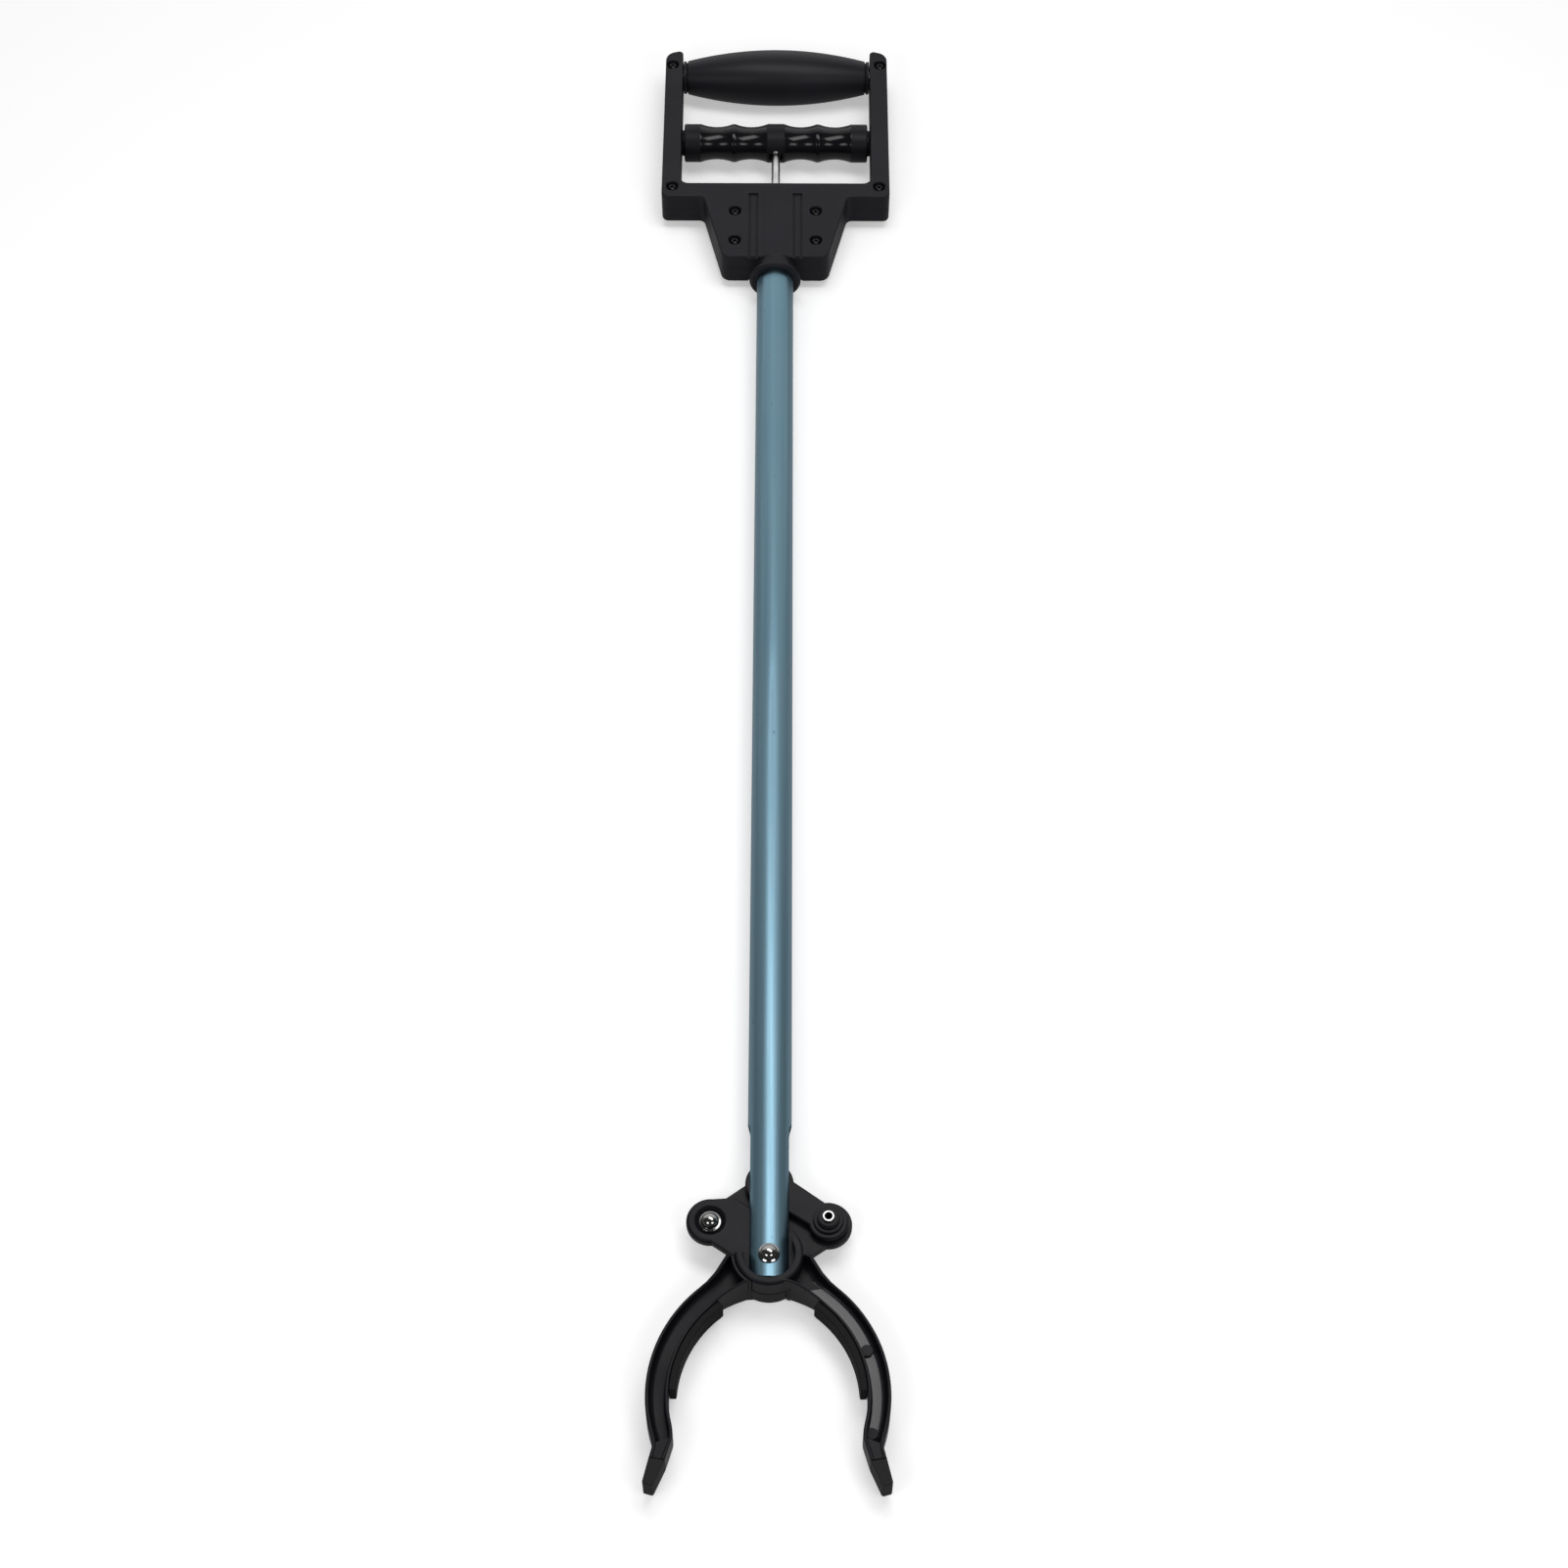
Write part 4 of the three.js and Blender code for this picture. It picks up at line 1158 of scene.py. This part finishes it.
def tube_collar():
    """Flange ring where the tube enters the handle, bevelled towards the jaws."""
    inner = TUBE_R + 0.15
    profile = [
        (inner, COLLAR_LOW, 0.3),
        (COLLAR_R - 1.6, COLLAR_LOW, 0.8),
        (COLLAR_R, COLLAR_LOW + 1.3, 0.6),
        (COLLAR_R, COLLAR_HIGH, 0.4),
        (inner, COLLAR_HIGH, 0),
    ]
    return along_y(turned(profile, 128, closed=True))


finish_piece(tube_collar(), "neck_ring", "frame", ["tube_collar"], SHELL_PLASTIC)


def fixed_grip():
    """Barrel-shaped grip with a bead and a shallow groove at either end."""
    half = grip_high.x + 0.45
    barrel = half - 2.8
    middle_r = grip_high.z
    neck_r = 10.4
    bead_r = 10.2
    groove_r = 9.0
    shares = [i / 40 for i in range(41)]
    curve = [(middle_r - (middle_r - neck_r) * share ** 2, barrel * share) for share in shares]
    bead = fillet([
        (neck_r, barrel),
        (groove_r, barrel + 0.5, 0.3),
        (groove_r, half - 2.2, 0.4),
        (bead_r, half - 1.6, 0.4),
        (bead_r, half, 0.5),
        (4.6, half, 0),
    ], False, 18)
    side = curve + bead[1:]
    profile = [(r, -x) for r, x in reversed(side[1:])] + side
    profile.append(profile[0])
    return moved(along_x(lathe(profile, 128)), y=GRIP_Y)


finish_piece(fixed_grip(), "fixed_grip", "frame", ["top_grip"], GRIP_PLASTIC)


BAR_HALF = 57.4
BAR_BOSS_HALF = 5.4
BAR_CREST = 11.7
BAR_TROUGH = 9.9
FINGER_PITCH = 21.6
FIRST_HOLLOW = 15.5
HOLLOW_HALF = 9.9
HOLLOWS = [side * (FIRST_HOLLOW + FINGER_PITCH * k) for side in (-1, 1) for k in (0, 1)]


def bar_radius(x):
    """Radius of the bar, with a round hollow for each finger."""
    deep = BAR_CREST - BAR_TROUGH
    scallop = (HOLLOW_HALF ** 2 + deep ** 2) / (2 * deep)
    away = min(abs(x - centre) for centre in HOLLOWS)
    if away < HOLLOW_HALF:
        return BAR_TROUGH + scallop - math.sqrt(scallop ** 2 - away ** 2)
    return BAR_CREST


def bar_core():
    """Scalloped bar with rounded ends and a moulding seam along its front and back."""
    rim = 0.9
    stations = {round(BAR_HALF * (-1 + i / 120), 4) for i in range(241)} | {-BAR_BOSS_HALF, BAR_BOSS_HALF}
    ends = [(BAR_HALF - rim * s, rim * c) for c, s in quarter(4)]
    path = [(-x, drop) for x, drop in reversed(ends)]
    path += [(x, 0) for x in sorted(stations) if abs(x) < BAR_HALF - rim]
    path += ends
    seams = (90, 270)
    turns = [3.75 * i for i in range(96)]
    turns = [t for t in turns if min(abs(t - seam) for seam in seams) > 1.5]
    turns += [seam + off for seam in seams for off in (-0.9, -0.35, 0.35, 0.9)]
    turns.sort()
    loops = []
    for x, drop in path:
        loop = []
        for degrees in turns:
            on_seam = drop == 0 and min(abs(degrees - seam) for seam in seams) < 0.5
            spot = polar(bar_radius(x) - drop + (0.12 if on_seam else 0), degrees)
            loop.append((x, spot.x, spot.y))
        loops.append(loop)
    return loft(loops)


def squeeze_bar():
    """Bar with four finger hollows, a plain middle boss and flat blades that run in the posts' grooves."""
    boss_r = BAR_CREST + 0.25
    end = BAR_BOSS_HALF
    boss = [(0, -end), (boss_r, -end, 0.25), (boss_r, end, 0.25), (0, end)]
    disc = [(0, -58.6), (8, -58.6, 0.4), (8, 58.6, 0.4), (0, 58.6)]
    blade_end = GROOVE_IN - 0.5
    blade = block(-blade_end, blade_end, -7.4, 7.4, -3.8, 3.8, 0.5, 0.4)
    shaped = unite(bar_core(), along_x(turned(boss, 128)), along_x(turned(disc, 96)), blade)
    rod_hole = along_y(rod(ROD_R + 0.3, -15, 5.4, 64))
    nut_pocket = turned([(0, -15), (4.4, -15), (4.4, -5.2, 0.2), (0, -5.2)], 64)
    return moved(cut(shaped, rod_hole, along_y(nut_pocket)), y=BAR_Y)


bar = finish_piece(squeeze_bar(), "finger_bar", "pull_train", ["squeeze_bar"], BAR_PLASTIC,
                   extra=[BAR_SATIN])
for face in bar.data.polygons:  # satin middle boss and ends
    away = abs(face.center.x) / MM
    if away < BAR_BOSS_HALF + 0.2 or away > 47.2:
        face.material_index = 1

# ---- CAD nodes that stay: give each its finish ----
KEPT = {
    PLAIN_STEEL: ("grip_spindle", "tube_key_pin_1", "tube_key_pin_2", "spring_collar"),
    GUIDE_PLASTIC: ("spring_seat", "lower_rod_guide", "upper_rod_guide"),
}
for look, names in KEPT.items():
    for name in names:
        for place in frame["nodes"][name].material_slots:
            place.material = look


# ---- floor, light and camera ----
FLOOR_HALF = 40.0


def floor_look():
    """Pale floor that the camera sees lit, other rays see dim, and every ray passes from below."""
    material = bpy.data.materials.new("pale_floor")
    material.use_nodes = True
    material.node_tree.nodes.clear()
    n = Nodes(material.node_tree)
    ray = n.add("ShaderNodeLightPath").outputs
    diffuse = n.add("ShaderNodeBsdfDiffuse", {"Color": grey(0.86)}).outputs[0]
    lift = n.add("ShaderNodeEmission", {"Color": grey(1), "Strength": 0.35}).outputs[0]
    lit = n.add("ShaderNodeAddShader", {0: diffuse, 1: lift}).outputs[0]
    dim = n.add("ShaderNodeBsdfDiffuse", {"Color": grey(0.26)}).outputs[0]
    reflected = 0.35  # share of the lit floor that reflections see
    shares = {0: ray["Is Glossy Ray"], 1: reflected, 2: ray["Is Camera Ray"]}
    seen = n.add("ShaderNodeMath", shares, operation="MULTIPLY_ADD", use_clamp=True).outputs[0]
    above = n.add("ShaderNodeMixShader", {0: seen, 1: dim, 2: lit}).outputs[0]
    below = n.add("ShaderNodeBsdfTransparent").outputs[0]
    backfacing = n.add("ShaderNodeNewGeometry").outputs["Backfacing"]
    surface = n.add("ShaderNodeMixShader", {0: backfacing, 1: above, 2: below}).outputs[0]
    n.add("ShaderNodeOutputMaterial", {0: surface})
    return material


# The floor touches the grip and the pivot pin's tail, so it leans a little along the tube.
belly = -grip_high.z * MM
tail = pin_low.z * MM
grip_row_y = PIVOT.y + GRIP_Y * MM
slope = (belly - tail) / (GRIP_Y * MM)
floor_points = []
for x, y in ((-1, -1), (1, -1), (1, 1), (-1, 1)):
    along = y * FLOOR_HALF
    floor_points.append((x * FLOOR_HALF, along, belly + slope * (along - grip_row_y) - 0.0002))
floor_mesh = bpy.data.meshes.new("floor")
floor_mesh.from_pydata(floor_points, [], [(0, 1, 2, 3)])
floor = bpy.data.objects.new("floor", floor_mesh)
floor.data.materials.append(floor_look())
bpy.context.scene.collection.objects.link(floor)


def softbox(name, place, aim, wide, long, watts):
    """Area light that faces a point."""
    light = bpy.data.lights.new(name, "AREA")
    light.shape = "RECTANGLE"
    light.size = wide
    light.size_y = long
    light.energy = watts
    lamp = bpy.data.objects.new(name, light)
    lamp.location = place
    lamp.rotation_euler = (Vector(aim) - Vector(place)).to_track_quat("-Z", "Y").to_euler()
    bpy.context.scene.collection.objects.link(lamp)


softbox("top_softbox", (0.15, PIVOT.y + 0.6, 1.4), (0.0, PIVOT.y + 0.35, 0), 1.15, 0.5, 9)
for name, x in (("left_softbox", -0.6), ("right_softbox", 0.6)):
    softbox(name, (x, PIVOT.y - 0.6, 1.1), (0.0, PIVOT.y + 0.5, 0), 0.5, 0.4, 2.6)

# A soft white room. Reflections see it dark except towards the handle, which gives the metal its contrast.
# The camera sees it as bright as the far floor.
world = bpy.data.worlds.new("studio")
world.use_nodes = True
sky = Nodes(world.node_tree)
ray = sky.add("ShaderNodeLightPath").outputs
direction = sky.add("ShaderNodeTexCoord").outputs["Generated"]
along = sky.add("ShaderNodeSeparateXYZ", {0: direction}).outputs["Y"]
reflected = sky.remap(along, 0.40, 0.66, 0.06, 1.05)
ambient = sky.add("ShaderNodeMix", {"Factor": ray["Is Camera Ray"], "A": 0.35, "B": 0.65}).outputs["Result"]
strength = sky.add("ShaderNodeMix", {"Factor": ray["Is Glossy Ray"], "A": ambient, "B": reflected})
background = sky.tree.nodes["Background"]
sky.put(background.inputs["Color"], grey(1))
sky.put(background.inputs["Strength"], strength.outputs["Result"])
bpy.context.scene.world = world
bpy.context.scene.view_settings.view_transform = "Standard"

CAMERA_TILT = 32.9  # degrees from straight above the object, towards the jaws
CAMERA_ROLL = 0.2
CAMERA_FAR = 1.56
CAMERA_LENS = 66.3335
SENSOR = 36
aim = Vector((0.0065, PIVOT.y + 0.2778, 0))
tilt = math.radians(CAMERA_TILT)
roll = math.radians(CAMERA_ROLL)
back = Vector((0, -math.sin(tilt), math.cos(tilt)))
level_up = Vector((0, math.cos(tilt), math.sin(tilt)))
camera_right = Vector((math.cos(roll), 0, 0)) + level_up * math.sin(roll)
camera_up = back.cross(camera_right)
camera_data = bpy.data.cameras.new("camera")
camera_data.sensor_width = SENSOR
camera_data.lens = CAMERA_LENS
camera = bpy.data.objects.new("camera", camera_data)
turn_matrix = Matrix((camera_right, camera_up, back)).transposed().to_4x4()
camera.matrix_world = Matrix.Translation(aim + back * CAMERA_FAR) @ turn_matrix
bpy.context.scene.collection.objects.link(camera)
bpy.context.scene.camera = camera
